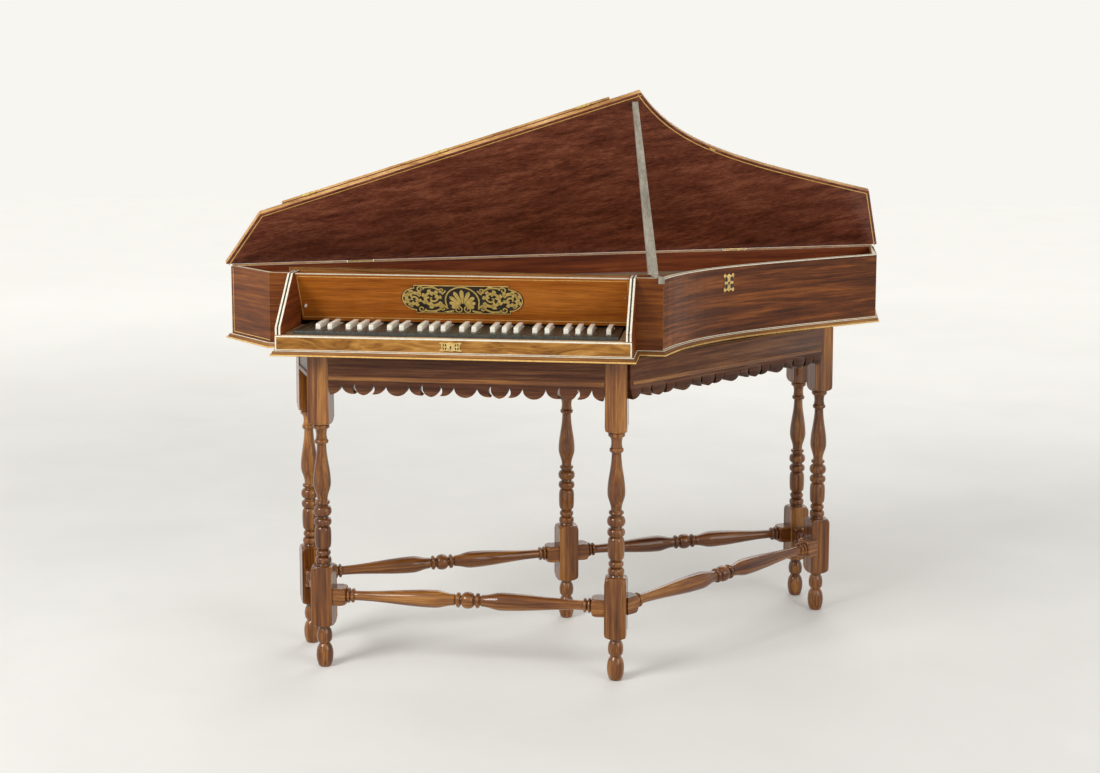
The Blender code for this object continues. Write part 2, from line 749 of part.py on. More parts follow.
def key_frame():
    """The board under the keys, with the balance rail and the end blocks."""
    left = KEYBOX_LEFT + CHEEK + GAP
    right = KEYBOX_RIGHT - CHEEK - GAP
    front = -KEYBOX_DEPTH + LOCK_BOARD + 2 * GAP
    low = CASE_BOTTOM + BOTTOM_BOARD + GAP
    high = low + KEY_FRAME
    outline = [
        plan(left, front), plan(right, front), plan(right, CHEEK_BACK), plan(left, BALANCE_LEFT + 0.010),
    ]
    level = Matrix.Translation((0, 0, (low + high) / 2))
    board = as_mesh(extruded("key_frame", [outline], high - low, level))
    half = 0.004
    rail = [
        plan(left + 0.001, balance_y(left) - half), plan(right - 0.001, balance_y(right) - half),
        plan(right - 0.001, balance_y(right) + half), plan(left + 0.001, balance_y(left) + half),
    ]
    top = KEY_BOTTOM - GAP
    level = Matrix.Translation((0, 0, (high - 0.001 + top) / 2))
    boolean(board, as_mesh(extruded("balance_rail", [rail], top - high + 0.001, level)), "UNION")
    blocks = (("bass_block", left, KEYS_LEFT - KEY_GAP), ("treble_block", KEYS_RIGHT + KEY_GAP, right))
    for name, start, end in blocks:
        size = (end - start, KEY_BLOCK_DEPTH, KEY_TOP - 0.003 - low - 0.001)
        place = plan((start + end) / 2, KEY_FRONT + KEY_BLOCK_DEPTH / 2)
        centre = (*place, low + 0.001 + size[2] / 2)
        boolean(board, block(name, size, centre, rounding=0.004, round_top=True), "UNION")
    return finish(board, "plain_wood")


# Lid, flap and prop

AXIS_UP = CASE_TOP + 0.0002
LID_BOTTOM = CASE_TOP + GAP
LID_TOP = LID_BOTTOM + LID
LID_PIVOT = Vector((*(SPINE_LEFT - FORWARD * HINGE_OUT), AXIS_UP))
FLAP_PIVOT = Vector((*plan(0, -LID_FRONT_OVERHANG - HINGE_OUT), LID_TOP + 0.0002))
PROP_PIVOT = Vector((*(plan(*PROP_FOOT) + FORWARD * PROP_REACH), CASE_TOP - PROP_PIVOT_DROP))


def lid_outline():
    """The case outline with the lid's overhangs; its back edge is over the spine's outer face."""
    ends = offset_loop(CASE_OUTLINE, LID_OVERHANG)
    front = plan(0, -LID_FRONT_OVERHANG)
    left_side = (CORNER - SPINE_LEFT).normalized()
    back_left = meet(SPINE_LEFT, ALONG, ends[1], left_side)
    front_left = meet(front, Vector((1, 0)), ends[1], left_side)
    side = (ends[3] - ends[2]).normalized()
    front_right = meet(front, Vector((1, 0)), ends[2], side)
    tail_side = (SPINE_RIGHT - BENTSIDE[-1]).normalized()
    back_right = meet(SPINE_LEFT, ALONG, ends[-1], tail_side)
    return [back_left, front_left, front_right] + ends[3:-1] + [back_right]


def lid(parent):
    outline = [point - LID_PIVOT.xy for point in lid_outline()]
    middle = (LID_BOTTOM + LID_TOP) / 2 - LID_PIVOT.z
    board = as_mesh(extruded("lid", [outline], LID, Matrix.Translation((0, 0, middle))))
    board.data.transform(board.matrix_world)
    board.matrix_world = Matrix.Identity(4)
    board.parent = parent
    bevel = board.modifiers.new("edge", "BEVEL")
    bevel.width = EDGE_ROUNDING
    bevel.segments = 1
    bevel.limit_method = "ANGLE"
    bevel.angle_limit = math.radians(60)
    return finish(board, "lid_walnut")


def flap(parent):
    """The keyboard flap, folded back flat on the lid's outer face, its hinge edge mitred."""
    width = KEYBOX_RIGHT - KEYBOX_LEFT - 2 * FLAP_END_GAP
    low, high = GAP, GAP + FLAP
    outline = [
        (HINGE_OUT, low), (FLAP_WIDTH, low), (FLAP_WIDTH, high),
        (HINGE_OUT + FLAP_MITRE, high), (HINGE_OUT, high - FLAP_MITRE),
    ]
    middle = ORIGIN_TO_CORNER.x + KEYBOX_MIDDLE - FLAP_PIVOT.x
    board = as_mesh(extruded("flap", [outline], width, frame((middle, 0, 0), (0, 1, 0), (0, 0, 1))))
    board.data.transform(board.matrix_world)
    board.matrix_world = Matrix.Identity(4)
    board.parent = parent
    bevel = board.modifiers.new("edge", "BEVEL")
    bevel.width = EDGE_ROUNDING
    bevel.segments = 1
    bevel.limit_method = "ANGLE"
    bevel.angle_limit = math.radians(60)
    return finish(board, "lid_walnut")


def barrel_profile(radius, length):
    half = length / 2
    lip = radius * 0.25
    upper = [(0, half), (radius - lip, half), (radius, half - lip)]
    return upper + [(around, -along) for around, along in reversed(upper)]


def flap_hinge(name, distance, parent):
    """A brass knuckle on the fold between lid and flap."""
    barrel = turned(name, barrel_profile(BARREL_RADIUS, FLAP_HINGE), 10)
    barrel.matrix_basis = Matrix.Translation((distance, 0, 0)) @ Matrix.Rotation(math.pi / 2, 4, "Y")
    barrel.parent = parent
    return finish(barrel, "brass")


def spine_hinge(name, along):
    """A hinge on the spine's outer face: a leaf and the barrel that the lid turns on."""
    place = from_spine(along, -HINGE_OUT)
    barrel = turned(name, barrel_profile(BARREL_RADIUS, SPINE_HINGE), 10)
    turn = Matrix.Rotation(SPINE_ANGLE, 4, "Z") @ Matrix.Rotation(math.pi / 2, 4, "Y")
    barrel.matrix_world = Matrix.Translation((*place, AXIS_UP)) @ turn
    leaf_thickness = 0.0016
    leaf_place = from_spine(along, -GAP - leaf_thickness / 2)
    size = (SPINE_HINGE - 0.002, leaf_thickness, 0.026)
    leaf = block(name + "_leaf", size, (*leaf_place, AXIS_UP - 0.0015 - size[2] / 2), SPINE_ANGLE)
    boolean(barrel, leaf, "UNION")
    return finish(barrel, "brass")


def prop_stick():
    """The prop: a tapered flat stick on a cranked foot that turns outside the treble corner."""
    inward = Vector((*-FORWARD, 0))
    up = Vector((0, 0, 1))
    sideways = Vector((*ALONG, 0))
    arm_under = PROP_PIVOT_DROP + 0.0008
    arm_over = arm_under + 0.003
    eye = 0.0032
    arm = [
        (-eye, -eye), (eye, -eye), (eye, arm_under), (PROP_REACH + 0.009, arm_under),
        (PROP_REACH + 0.009, arm_over), (-eye, arm_over),
    ]
    stick = as_mesh(extruded("prop_stick", [arm], 0.012, frame((0, 0, 0), inward, up)))
    foot = inward * PROP_REACH + up * arm_under
    foot_forward = (PROP_PIVOT.xy - SPINE_LEFT).dot(FORWARD) - PROP_REACH
    lean_back = foot_forward - PROP_TOP_FORWARD
    lid_height = (PROP_TOP_FORWARD + HINGE_OUT) * math.tan(LID_OPEN) + AXIS_UP
    rise = lid_height - (PROP_PIVOT.z + arm_under) - 0.0085
    run = inward * lean_back + up * rise + sideways * PROP_SIDE_LEAN
    length = run.length
    wide, narrow = PROP_FOOT_WIDTH / 2, PROP_TOP_WIDTH / 2
    outline = [(-wide, 0), (wide, 0), (narrow, length), (-narrow, length)]
    bar = as_mesh(extruded("prop_bar", [outline], PROP_THICK, frame(foot + up * 0.002, sideways, run)))
    bar.matrix_world = Matrix.Translation(PROP_PIVOT) @ bar.matrix_world
    stick.data.transform(stick.matrix_world)
    stick.matrix_world = Matrix.Translation(PROP_PIVOT)
    boolean(stick, bar, "UNION")
    return finish(stick, "grey_wood")


# Escutcheons

def oval(half_wide, half_tall, points=20):
    """A lobed oval: an ellipse whose outline swells at the ends."""
    outline = []
    for step in range(points):
        turn = 2 * math.pi * step / points
        swell = 1 + 0.08 * math.cos(4 * turn)
        outline.append((half_wide * swell * math.cos(turn), half_tall * swell * math.sin(turn)))
    return outline


PLATE = 0.0014


def escutcheon_front():
    place = Vector((*plan(KEYBOX_MIDDLE, -KEYBOX_DEPTH - GAP - PLATE / 2), LOCK_BOARD_TOP - 0.017))
    plate = extruded("escutcheon_front", [oval(0.025, 0.0105)], PLATE, frame(place, (1, 0, 0), (0, 0, 1)))
    return finish(plate, "brass")


def escutcheon_side():
    """The plate of the lid's lock, on the bentside."""
    index = 8
    ahead = (BENTSIDE[index + 1] - BENTSIDE[index]).normalized()
    middle = (BENTSIDE[index + 1] + BENTSIDE[index]) / 2
    out = perpendicular(ahead) * (GAP + PLATE / 2)
    place = Vector((*(middle + out), CASE_TOP - 0.037))
    plate = extruded("escutcheon_side", [oval(0.018, 0.022)], PLATE, frame(place, (*ahead, 0), (0, 0, 1)))
    return finish(plate, "brass")


# The stand

def leg_places():
    """Each leg's name, plan place and turn."""
    left, middle, right = LEGS_ALONG
    return {
        "leg_front_left": (plan(KEYBOX_LEFT + LEFT_LEG_IN, FRONT_LEGS), 0.0),
        "leg_front_right": (plan(CASE_FRONT - RIGHT_LEG_IN, FRONT_LEGS), 0.0),
        "leg_side_right": (from_spine(right, SIDE_LEG), SPINE_ANGLE),
        "leg_back_right": (from_spine(right, BACK_LEGS), SPINE_ANGLE),
        "leg_back_middle": (from_spine(middle, BACK_LEGS), SPINE_ANGLE),
        "leg_back_left": (from_spine(left, BACK_LEGS), SPINE_ANGLE),
    }


LEGS = leg_places()


def bead(top, bottom, radius, core):
    """A half-round ring on a thinner core."""
    middle = (top + bottom) / 2
    return [(core, top), (radius * 0.93, top - (top - bottom) * 0.15), (radius, middle),
            (radius * 0.93, bottom + (top - bottom) * 0.15), (core, bottom)]


def swell(top, bottom, start, widest, end, share, steps):
    """A vase: from one radius to its widest, at a share of its height, and in again."""
    points = []
    for step in range(steps + 1):
        t = step / steps
        height = top + (bottom - top) * t
        if t < share:
            ease = 0.5 - 0.5 * math.cos(math.pi * t / share)
            points.append((start + (widest - start) * ease, height))
        else:
            ease = 0.5 - 0.5 * math.cos(math.pi * (t - share) / (1 - share))
            points.append((widest + (end - widest) * ease, height))
    return points


def leg_profile():
    """The turning of a leg, top to bottom."""
    inside_block = TOP_BLOCK_FOOT + 0.020
    profile = [(0, inside_block), (0.0185, inside_block), (0.0185, TOP_BLOCK_FOOT - 0.003)]
    profile += [(0.0165, 0.540), (0.0115, 0.534), (0.0115, 0.520)]
    profile += bead(0.515, 0.505, 0.0155, 0.012)
    profile += swell(0.503, 0.379, 0.0105, 0.0195, 0.0115, 0.70, 8)
    profile += bead(0.377, 0.368, 0.0165, 0.012)
    profile += bead(0.365, 0.342, 0.0200, 0.012)
    profile += bead(0.338, 0.320, 0.0195, 0.013)
    profile += [(0.0150, 0.317), (0.0178, 0.311), (0.0184, 0.294), (0.0176, 0.276), (0.0140, 0.269)]
    profile += bead(0.265, 0.252, 0.0165, 0.012)
    profile += [(0.0140, 0.248), (0.0175, 0.240), (0.0185, 0.2325), (0.0185, 0.091)]
    profile += [(0.0120, 0.087), (0.0168, 0.072), (0.0165, 0.060), (0.0110, 0.052)]
    profile += [(0.0165, 0.043), (0.0190, 0.025), (0.0160, 0.006), (0.0120, 0.0), (0, 0)]
    return profile


def leg(name):
    place, turn = LEGS[name]
    made = turned(name, leg_profile(), LEG_SIDES)
    made.matrix_world = Matrix.Translation((*place, 0)) @ Matrix.Rotation(turn, 4, "Z")
    top = STAND_TOP - TOP_BLOCK_FOOT
    centre = (*place, TOP_BLOCK_FOOT + top / 2)
    boolean(made, block(name + "_top", (BLOCK, BLOCK, top), centre, turn, 0.009, round_foot=True), "UNION")
    low, high = LOWER_BLOCK
    centre = (*place, (low + high) / 2)
    size = (BLOCK, BLOCK, high - low)
    boolean(made, block(name + "_low", size, centre, turn, 0.009, round_top=True, round_foot=True), "UNION")
    return finish(made, "stand_walnut")


def leg_cutter(name, leg_name, low, high):
    """A leg's square block with a small gap all round."""
    place, turn = LEGS[leg_name]
    size = (BLOCK + 2 * GAP, BLOCK + 2 * GAP, high - low)
    return block(name, size, (*place, (low + high) / 2), turn)


def apron_repeat(width, number):
    """One repeat of the scalloped edge, as (distance, depth) points: lobe, leaf, heart, leaf.

    Each repeat's slits are sawn a little deeper than the last one's.
    """
    lobe, leaf, heart = width * 0.32, width * 0.21, width * 0.26
    top, slit = APRON * 0.36, APRON * (0.12 + 0.013 * number)
    points = []
    for step in range(5):
        turn = math.pi / 2 * step / 4
        points.append((lobe / 2 * math.sin(turn), top + (APRON - top) * math.cos(turn)))
    start = lobe / 2
    points += [(start + leaf * 0.30, APRON * 0.62), (start + leaf * 0.62, APRON * 0.80)]
    points += [(start + leaf, APRON * 0.88), (start + leaf * 0.86, APRON * 0.50), (start + leaf, slit)]
    middle = width / 2
    points += [(middle - heart * 0.40, APRON * 0.45), (middle - heart * 0.26, APRON * 0.78)]
    points += [(middle, APRON * 0.97)]
    mirrored = [(width - distance, depth) for distance, depth in reversed(points[:-1])]
    return points + mirrored


def rail(name, first, last, with_apron):
    """A rail between two legs, near their outer faces, cut to meet their blocks."""
    start, end = LEGS[first][0], LEGS[last][0]
    along = (end - start).normalized()
    length = (end - start).length
    outward = perpendicular(along)
    inset = BLOCK / 2 - RAIL / 2 - 0.0008
    place = start + outward * inset
    foot = STAND_TOP - RAIL_HEIGHT - LIP_HEIGHT
    outline = [(length, foot), (length, STAND_TOP), (0, STAND_TOP), (0, foot)]
    if with_apron:
        margin = BLOCK / 2 + 0.004
        count = round((length - 2 * margin) / 0.149)
        width = (length - 2 * margin) / count
        for repeat in range(count):
            for distance, depth in apron_repeat(width, repeat)[repeat > 0:]:
                outline.append((margin + repeat * width + distance, foot - depth))
    board = as_mesh(extruded(name, [outline], RAIL, frame((*place, 0), (*along, 0), (0, 0, 1))))
    lip_depth = RAIL / 2 + LIP_OUT
    lip_place = start + along * (length / 2) + outward * (inset + lip_depth / 2)
    angle = math.atan2(along.y, along.x)
    lip_size = (length - BLOCK - 0.004, lip_depth, LIP_HEIGHT)
    lip_centre = (*lip_place, foot + 0.0006 + LIP_HEIGHT / 2)
    boolean(board, block(name + "_lip", lip_size, lip_centre, angle), "UNION")
    for leg_name in (first, last):
        cutter = leg_cutter(f"{name}_at_{leg_name}", leg_name, TOP_BLOCK_FOOT, STAND_TOP + 0.010)
        boolean(board, cutter, "DIFFERENCE")
    return finish(board, "stand_walnut")


def stretcher_profile(half):
    """Half of a stretcher's turning, from its end to the ball in its middle, as (radius, distance)."""
    core = 0.0100
    end_ring = [(0.0165, half), (0.0165, half - 0.004), (core, half - 0.007)]
    ball = [(core, 0.0135), (0.0150, 0.0105), (0.0180, 0.0)]
    if half < SHORT_STRETCHER:
        return end_ring + ball
    end_ring += [(0.0155, half - 0.012), (0.0155, half - 0.016), (core, half - 0.020)]
    middle_ring = [(core, 0.027), (0.0165, 0.024), (0.0165, 0.018), (core, 0.0155)]
    return end_ring + swell(half - 0.022, 0.030, core, 0.0188, 0.0115, 0.80, 7) + middle_ring + ball


def stretcher(name, first, last):
    """A turned stretcher between two legs' lower blocks, with square ends that meet them."""
    start, end = LEGS[first][0], LEGS[last][0]
    along = (end - start).normalized()
    free = (end - start).length / 2 - BLOCK / 2
    half = free + 0.010
    side = stretcher_profile(free - 0.012)
    upper = [(0, half), (0.0165, half)] + side
    profile = upper + [(radius, -distance) for radius, distance in reversed(upper[:-1])]
    bar = turned(name, without_repeats(profile), STRETCHER_SIDES)
    middle = (start + end) / 2
    angle = math.atan2(along.y, along.x)
    turn = Matrix.Rotation(angle, 4, "Z") @ Matrix.Rotation(math.pi / 2, 4, "Y")
    bar.matrix_world = Matrix.Translation((*middle, STRETCHER_HEIGHT)) @ turn
    low, high = STRETCHER_HEIGHT - 0.03, STRETCHER_HEIGHT + 0.03
    square = min(0.036, free * 0.40) + 0.010
    for leg_name, sign in ((first, -1), (last, 1)):
        centre = middle + along * (sign * (half - square / 2))
        size = (0.038, 0.038, square)
        end_block = block(f"{name}_end_{leg_name}", size, (0, 0, 0), 0, 0.008, round_top=True)
        tip = Matrix.Rotation(angle, 4, "Z") @ Matrix.Rotation(-sign * math.pi / 2, 4, "Y")
        end_block.matrix_world = Matrix.Translation((*centre, STRETCHER_HEIGHT)) @ tip
        boolean(bar, end_block, "UNION")
    for leg_name in (first, last):
        boolean(bar, leg_cutter(f"{name}_at_{leg_name}", leg_name, low, high), "DIFFERENCE")
    return finish(bar, "stand_walnut")


RING = (
    ("front", "leg_front_left", "leg_front_right", True),
    ("right", "leg_front_right", "leg_side_right", True),
    ("tail", "leg_side_right", "leg_back_right", False),
    ("back_right", "leg_back_right", "leg_back_middle", False),
    ("back_left", "leg_back_middle", "leg_back_left", False),
    ("left", "leg_back_left", "leg_front_left", False),
)


def stand():
    for name in LEGS:
        leg(name)
    for side, first, last, with_apron in RING:
        rail("rail_" + side, first, last, with_apron)
        stretcher("stretcher_" + side, first, last)


def case():
    wall("left_end", 0)
    front_panel_left()
    front_panel_right()
    bentside_wall()
    wall("tail_wall", TAIL_INDEX)
    wall("spine_wall", TAIL_INDEX + 1, "stand_walnut")
    bottom_board()
    cheek("cheek_left", KEYBOX_LEFT)
    cheek("cheek_right", KEYBOX_RIGHT - CHEEK)
    lock_board()
    base_moulding()
    nameboard()
    nameboard_plaque()
    nameboard_knob()
    escutcheon_front()
    escutcheon_side()


def inside_case():
    wrest_plank()
    soundboard()
    bridge()
    jack_strip("jack_row", JACK_HALF, JACK_BOTTOM, JACK_TOP, "plain_wood")
    jack_strip("jack_rail", JACK_RAIL_HALF, JACK_RAIL_BOTTOM, JACK_RAIL_TOP, "moulding_walnut")


def keyboard():
    key_frame()
    last = len(NATURALS) - 1
    fixed_naturals("naturals_bass", 0, FIRST_MOVING - 1)
    fixed_naturals("naturals_treble", LAST_MOVING + 1, last)
    fixed_sharps("sharps_bass", 0, FIRST_MOVING - 1)
    fixed_sharps("sharps_treble", LAST_MOVING, last)
    for index in range(FIRST_MOVING, LAST_MOVING + 1):
        letter = NATURALS[index].lower()
        moving_natural(f"key_{letter}", index)
        if has_sharp(index) and index < LAST_MOVING:
            moving_sharp(f"key_{letter}_sharp", index)


def lid_group():
    opened = pivot("lid_pivot", LID_PIVOT, axis=(*ALONG, 0), angle=-LID_OPEN)
    lid(opened)
    folded = pivot("flap_pivot", FLAP_PIVOT - LID_PIVOT, opened)
    flap(folded)
    for number, distance in enumerate(FLAP_HINGES, 1):
        flap_hinge(f"flap_hinge_{number}", distance, folded)
    for side, distance in zip(("left", "right"), SPINE_HINGES):
        spine_hinge(f"spine_hinge_{side}", distance)
    prop_stick()


stand()
case()
inside_case()
keyboard()
lid_group()
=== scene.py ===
# %% [markdown]
# # A bentside spinet
# A spinet is a small plucked keyboard instrument: each key lifts a jack, whose quill plucks one string. This
# one stands on turned legs, with its lid propped open and its keyboard flap folded back on the lid.
#
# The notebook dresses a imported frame. The frame gives every solid in metres, so a piece made here is put
# where the solid is, with no fitting. Each cell adds one kind of piece or finish and prints what it made.

# %% Load the frame
import math

import bmesh
import bpy
from mathutils import Matrix, Vector


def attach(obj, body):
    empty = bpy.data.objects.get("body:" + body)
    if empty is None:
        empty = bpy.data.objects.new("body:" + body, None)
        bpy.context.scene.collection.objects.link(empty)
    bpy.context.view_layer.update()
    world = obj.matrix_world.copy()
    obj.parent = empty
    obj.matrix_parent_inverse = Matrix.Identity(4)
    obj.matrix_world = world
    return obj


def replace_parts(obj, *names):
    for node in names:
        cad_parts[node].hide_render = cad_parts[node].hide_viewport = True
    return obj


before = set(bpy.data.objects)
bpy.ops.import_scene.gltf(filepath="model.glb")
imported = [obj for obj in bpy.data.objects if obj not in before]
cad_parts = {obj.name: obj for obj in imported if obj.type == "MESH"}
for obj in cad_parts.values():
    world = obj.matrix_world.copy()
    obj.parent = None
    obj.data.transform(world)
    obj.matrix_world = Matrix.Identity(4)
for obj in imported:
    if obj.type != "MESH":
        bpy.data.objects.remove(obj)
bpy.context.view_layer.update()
print("nodes:", len(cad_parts))

# %% [markdown]
# ## Sizes
# An instrument maker draws the plan first, and everything stands on its lines. The plan could be read back
# from the solids' corners, but a few named sizes are easier to follow and to change. They are measured from
# the case's front left corner, as the solids are.

# %% Sizes shared by many pieces
CORNER = Vector((-0.61925, -0.33846))
KEYBOX_LEFT = 0.0425
KEYBOX_RIGHT = 0.815
KEYBOX_MIDDLE = (KEYBOX_LEFT + KEYBOX_RIGHT) / 2
KEYBOX_DEPTH = 0.102
CHEEK = 0.0145
CASE_FRONT = 0.874
CASE_BOTTOM = 0.707
CASE_TOP = 0.875
LOCK_TOP = 0.751
CHEEK_STEP = 0.768
WALL = 0.013
GAP = 0.0003
STAND_TOP = CASE_BOTTOM - GAP
BLOCK = 0.046
UP = Vector((0, 0, 1))
print("case depth:", round(CASE_TOP - CASE_BOTTOM, 3), "m")

# %% [markdown]
# ## The plan
# The straight back wall is called the spine, because the whole case is built on it, and it runs at an angle
# to the keyboard. `ALONG` points along the spine and `FORWARD` from it towards the player, so a place on the
# case can be given as two distances. The curved wall on the right is the bentside. Arcs would meet in kinks,
# so it is one cubic curve, the form that a bent board takes by itself.

# %% Places in plan
SPINE_ANGLE = math.radians(23.6)
ALONG = Vector((math.cos(SPINE_ANGLE), math.sin(SPINE_ANGLE)))
FORWARD = Vector((ALONG.y, -ALONG.x))
SPINE_LENGTH = 1.636
SPINE_LEFT = CORNER + Vector((-0.127, 0.119))
SPINE_RIGHT = SPINE_LEFT + ALONG * SPINE_LENGTH


def plan(x, y):
    return CORNER + Vector((x, y))


def from_spine(along, forward):
    return SPINE_LEFT + ALONG * along + FORWARD * forward


def right_of(direction):
    return Vector((direction.y, -direction.x))


def bezier(points, steps):
    """Points of a cubic curve through its first and last point."""
    a, b, c, d = points
    made = []
    for step in range(steps + 1):
        t = step / steps
        s = 1 - t
        made.append(a * s ** 3 + b * 3 * s * s * t + c * 3 * s * t * t + d * t ** 3)
    return made


BENTSIDE_PULLS = [
    plan(CASE_FRONT, 0), from_spine(0.998, 0.349), from_spine(1.152, 0.299), from_spine(1.548, 0.185),
]
BENTSIDE = bezier(BENTSIDE_PULLS, 18)
print("bentside points:", len(BENTSIDE))

# %% [markdown]
# ## Camera
# The photograph looks at the spinet from its treble side and from a little above the case. A camera can be
# aimed at a target, but its place, turn and lens say more plainly what was measured. The lens comes from the
# picture: its width in pixels and the distance, in the same pixels, from the eye to the picture.

# %% Camera
PHOTO_WIDTH = 1100
EYE_TO_PICTURE = 1560
SENSOR = 36
scene = bpy.context.scene
scene.view_settings.view_transform = "Standard"
camera_data = bpy.data.cameras.new("camera")
camera_data.lens = SENSOR * EYE_TO_PICTURE / PHOTO_WIDTH
camera_data.shift_y = -0.109
camera = bpy.data.objects.new("camera", camera_data)
camera.location = (0.4405, -3.6603, 1.2789)
camera.rotation_euler = (math.radians(90 - 6.5), 0, math.radians(7.4))
scene.collection.objects.link(camera)
scene.camera = camera
print("camera lens:", round(camera_data.lens, 1), "mm")

# %% [markdown]
# ## Lamps
# Polished wood shows its shape by soft highlights. Small lamps would give hard dots, so three large area
# lights stand round the spinet: a main one at the bass side, a weaker one opposite, and one behind.

# %% Lamps
LAMPS = {
    "key_light": ((-2.6, -3.0, 3.2), (0, 0, 0.7), 1.6, 120),
    "fill_light": ((3.4, -2.8, 2.0), (0, 0, 0.7), 2.4, 50),
    "back_light": ((0.6, 3.4, 3.2), (0, 0, 0.8), 2.6, 45),
}


def area_light(name, place, target, size, power):
    data = bpy.data.lights.new(name, "AREA")
    data.size = size
    data.energy = power
    lamp = bpy.data.objects.new(name, data)
    lamp.location = place
    lamp.rotation_euler = (Vector(target) - Vector(place)).to_track_quat("-Z", "Y").to_euler()
    scene.collection.objects.link(lamp)


for name, settings in LAMPS.items():
    area_light(name, *settings)
print("lamps:", len(LAMPS))

# %% [markdown]
# ## Backdrop
# A pale backdrop could be had with more light, but that would bleach the wood. Here the world is two
# backgrounds: a plain one that lights the spinet, and a pale one that only the camera and reflections see.
# The Light Path node tells which of them a ray asks for.

# %% World
PALE = (0.93, 0.92, 0.88)
DAYLIGHT = (1.0, 0.985, 0.95)
DAYLIGHT_STRENGTH = 0.50


def seen_directly(tree):
    """One for camera, glossy and transmission rays, nought for the light that falls on things."""
    rays = tree.nodes.new("ShaderNodeLightPath")
    total = rays.outputs["Is Camera Ray"]
    for kind in ("Is Glossy Ray", "Is Transmission Ray"):
        either = tree.nodes.new("ShaderNodeMath")
        either.operation = "MAXIMUM"
        tree.links.new(total, either.inputs[0])
        tree.links.new(rays.outputs[kind], either.inputs[1])
        total = either.outputs[0]
    return total


def make_world():
    world = bpy.data.worlds.new("studio")
    scene.world = world
    world.use_nodes = True
    tree = world.node_tree
    tree.nodes.clear()
    output = tree.nodes.new("ShaderNodeOutputWorld")
    either = tree.nodes.new("ShaderNodeMixShader")
    light = tree.nodes.new("ShaderNodeBackground")
    backdrop = tree.nodes.new("ShaderNodeBackground")
    light.inputs["Color"].default_value = (*DAYLIGHT, 1)
    light.inputs["Strength"].default_value = DAYLIGHT_STRENGTH
    backdrop.inputs["Color"].default_value = (*PALE, 1)
    tree.links.new(seen_directly(tree), either.inputs[0])
    tree.links.new(light.outputs[0], either.inputs[1])
    tree.links.new(backdrop.outputs[0], either.inputs[2])
    tree.links.new(either.outputs[0], output.inputs[0])
    print("world nodes:", len(tree.nodes))


make_world()

# %% [markdown]
# ## A toolbox for materials
# A material is a graph of nodes, and building one by hand takes many lines. These helpers each add one node
# and give back its result, so that a recipe reads like a sum. `feed` takes a number, a colour or another
# node's result, which keeps the recipes short.

# %% Patterns
def feed(tree, value, socket):
    """Gives a socket its value: another node's result, a colour or a number."""
    if isinstance(value, bpy.types.NodeSocket):
        tree.links.new(value, socket)
    elif isinstance(value, tuple):
        socket.default_value = (*value, 1)
    else:
        socket.default_value = value


def noise(tree, vector, scale, detail=4.0, distortion=0.0, roughness=0.55):
    node = tree.nodes.new("ShaderNodeTexNoise")
    node.inputs["Detail"].default_value = detail
    node.inputs["Roughness"].default_value = roughness
    feed(tree, scale, node.inputs["Scale"])
    feed(tree, distortion, node.inputs["Distortion"])
    tree.links.new(vector, node.inputs["Vector"])
    return node.outputs["Fac"]


def ramp(tree, value, stops):
    """Two colours, met at two places of a pattern."""
    node = tree.nodes.new("ShaderNodeValToRGB")
    elements = node.color_ramp.elements
    for element, (place, colour) in zip(elements, stops):
        element.position = place
        element.color = (*colour, 1)
    tree.links.new(value, node.inputs["Fac"])
    return node.outputs["Color"]


print("pattern helpers: noise and ramp")

# %% Mixes and ranges
def mix_colour(tree, kind, amount, first, second):
    node = tree.nodes.new("ShaderNodeMix")
    node.data_type = "RGBA"
    node.blend_type = kind
    feed(tree, amount, node.inputs[0])
    feed(tree, first, node.inputs[6])
    feed(tree, second, node.inputs[7])
    return node.outputs[2]


def mix_values(tree, amount, first, second):
    node = tree.nodes.new("ShaderNodeMix")
    feed(tree, amount, node.inputs[0])
    feed(tree, first, node.inputs[2])
    feed(tree, second, node.inputs[3])
    return node.outputs[0]


def times(tree, first, second):
    node = tree.nodes.new("ShaderNodeMath")
    node.operation = "MULTIPLY"
    feed(tree, first, node.inputs[0])
    feed(tree, second, node.inputs[1])
    return node.outputs[0]


def remap(tree, value, low, high, start=0.0, end=1.0):
    """A value taken from the range start to end into the range low to high."""
    node = tree.nodes.new("ShaderNodeMapRange")
    node.inputs["From Min"].default_value = start
    node.inputs["From Max"].default_value = end
    node.inputs["To Min"].default_value = low
    node.inputs["To Max"].default_value = high
    tree.links.new(value, node.inputs["Value"])
    return node.outputs["Result"]


def three_colours(tree, value, places, dark, middle, light):
    """Dark, middle and light, met one after the other at three places of a pattern."""
    low, centre, high = places
    colour = mix_colour(tree, "MIX", remap(tree, value, 0, 1, low, centre), dark, middle)
    return mix_colour(tree, "MIX", remap(tree, value, 0, 1, centre, high), colour, light)


print("mixing helpers: mix_colour, mix_values, times, remap, three_colours")

# %% [markdown]
# ## Shared effects: worn edges and painted edge highlights
# On an old instrument the polish is rubbed through where hands and sleeves touch, so edges look paler, and
# the same pale colour paints the highlight that edges catch. Paint on each edge would have to be redone for
# every piece. The Bevel node finds edges by itself: near one, its rounded normal turns away from the
# surface's own, and that angle becomes the mask.

# %% How a node group starts
def start_group(name, inputs, outputs):
    """An empty node group with named sockets, its input results and its output sockets."""
    group = bpy.data.node_groups.new(name, "ShaderNodeTree")
    for way, sockets in (("INPUT", inputs), ("OUTPUT", outputs)):
        for label, kind in sockets.items():
            group.interface.new_socket(label, in_out=way, socket_type="NodeSocket" + kind)
    return group, group.nodes.new("NodeGroupInput").outputs, group.nodes.new("NodeGroupOutput").inputs


print("a group's sockets are named where it is started")
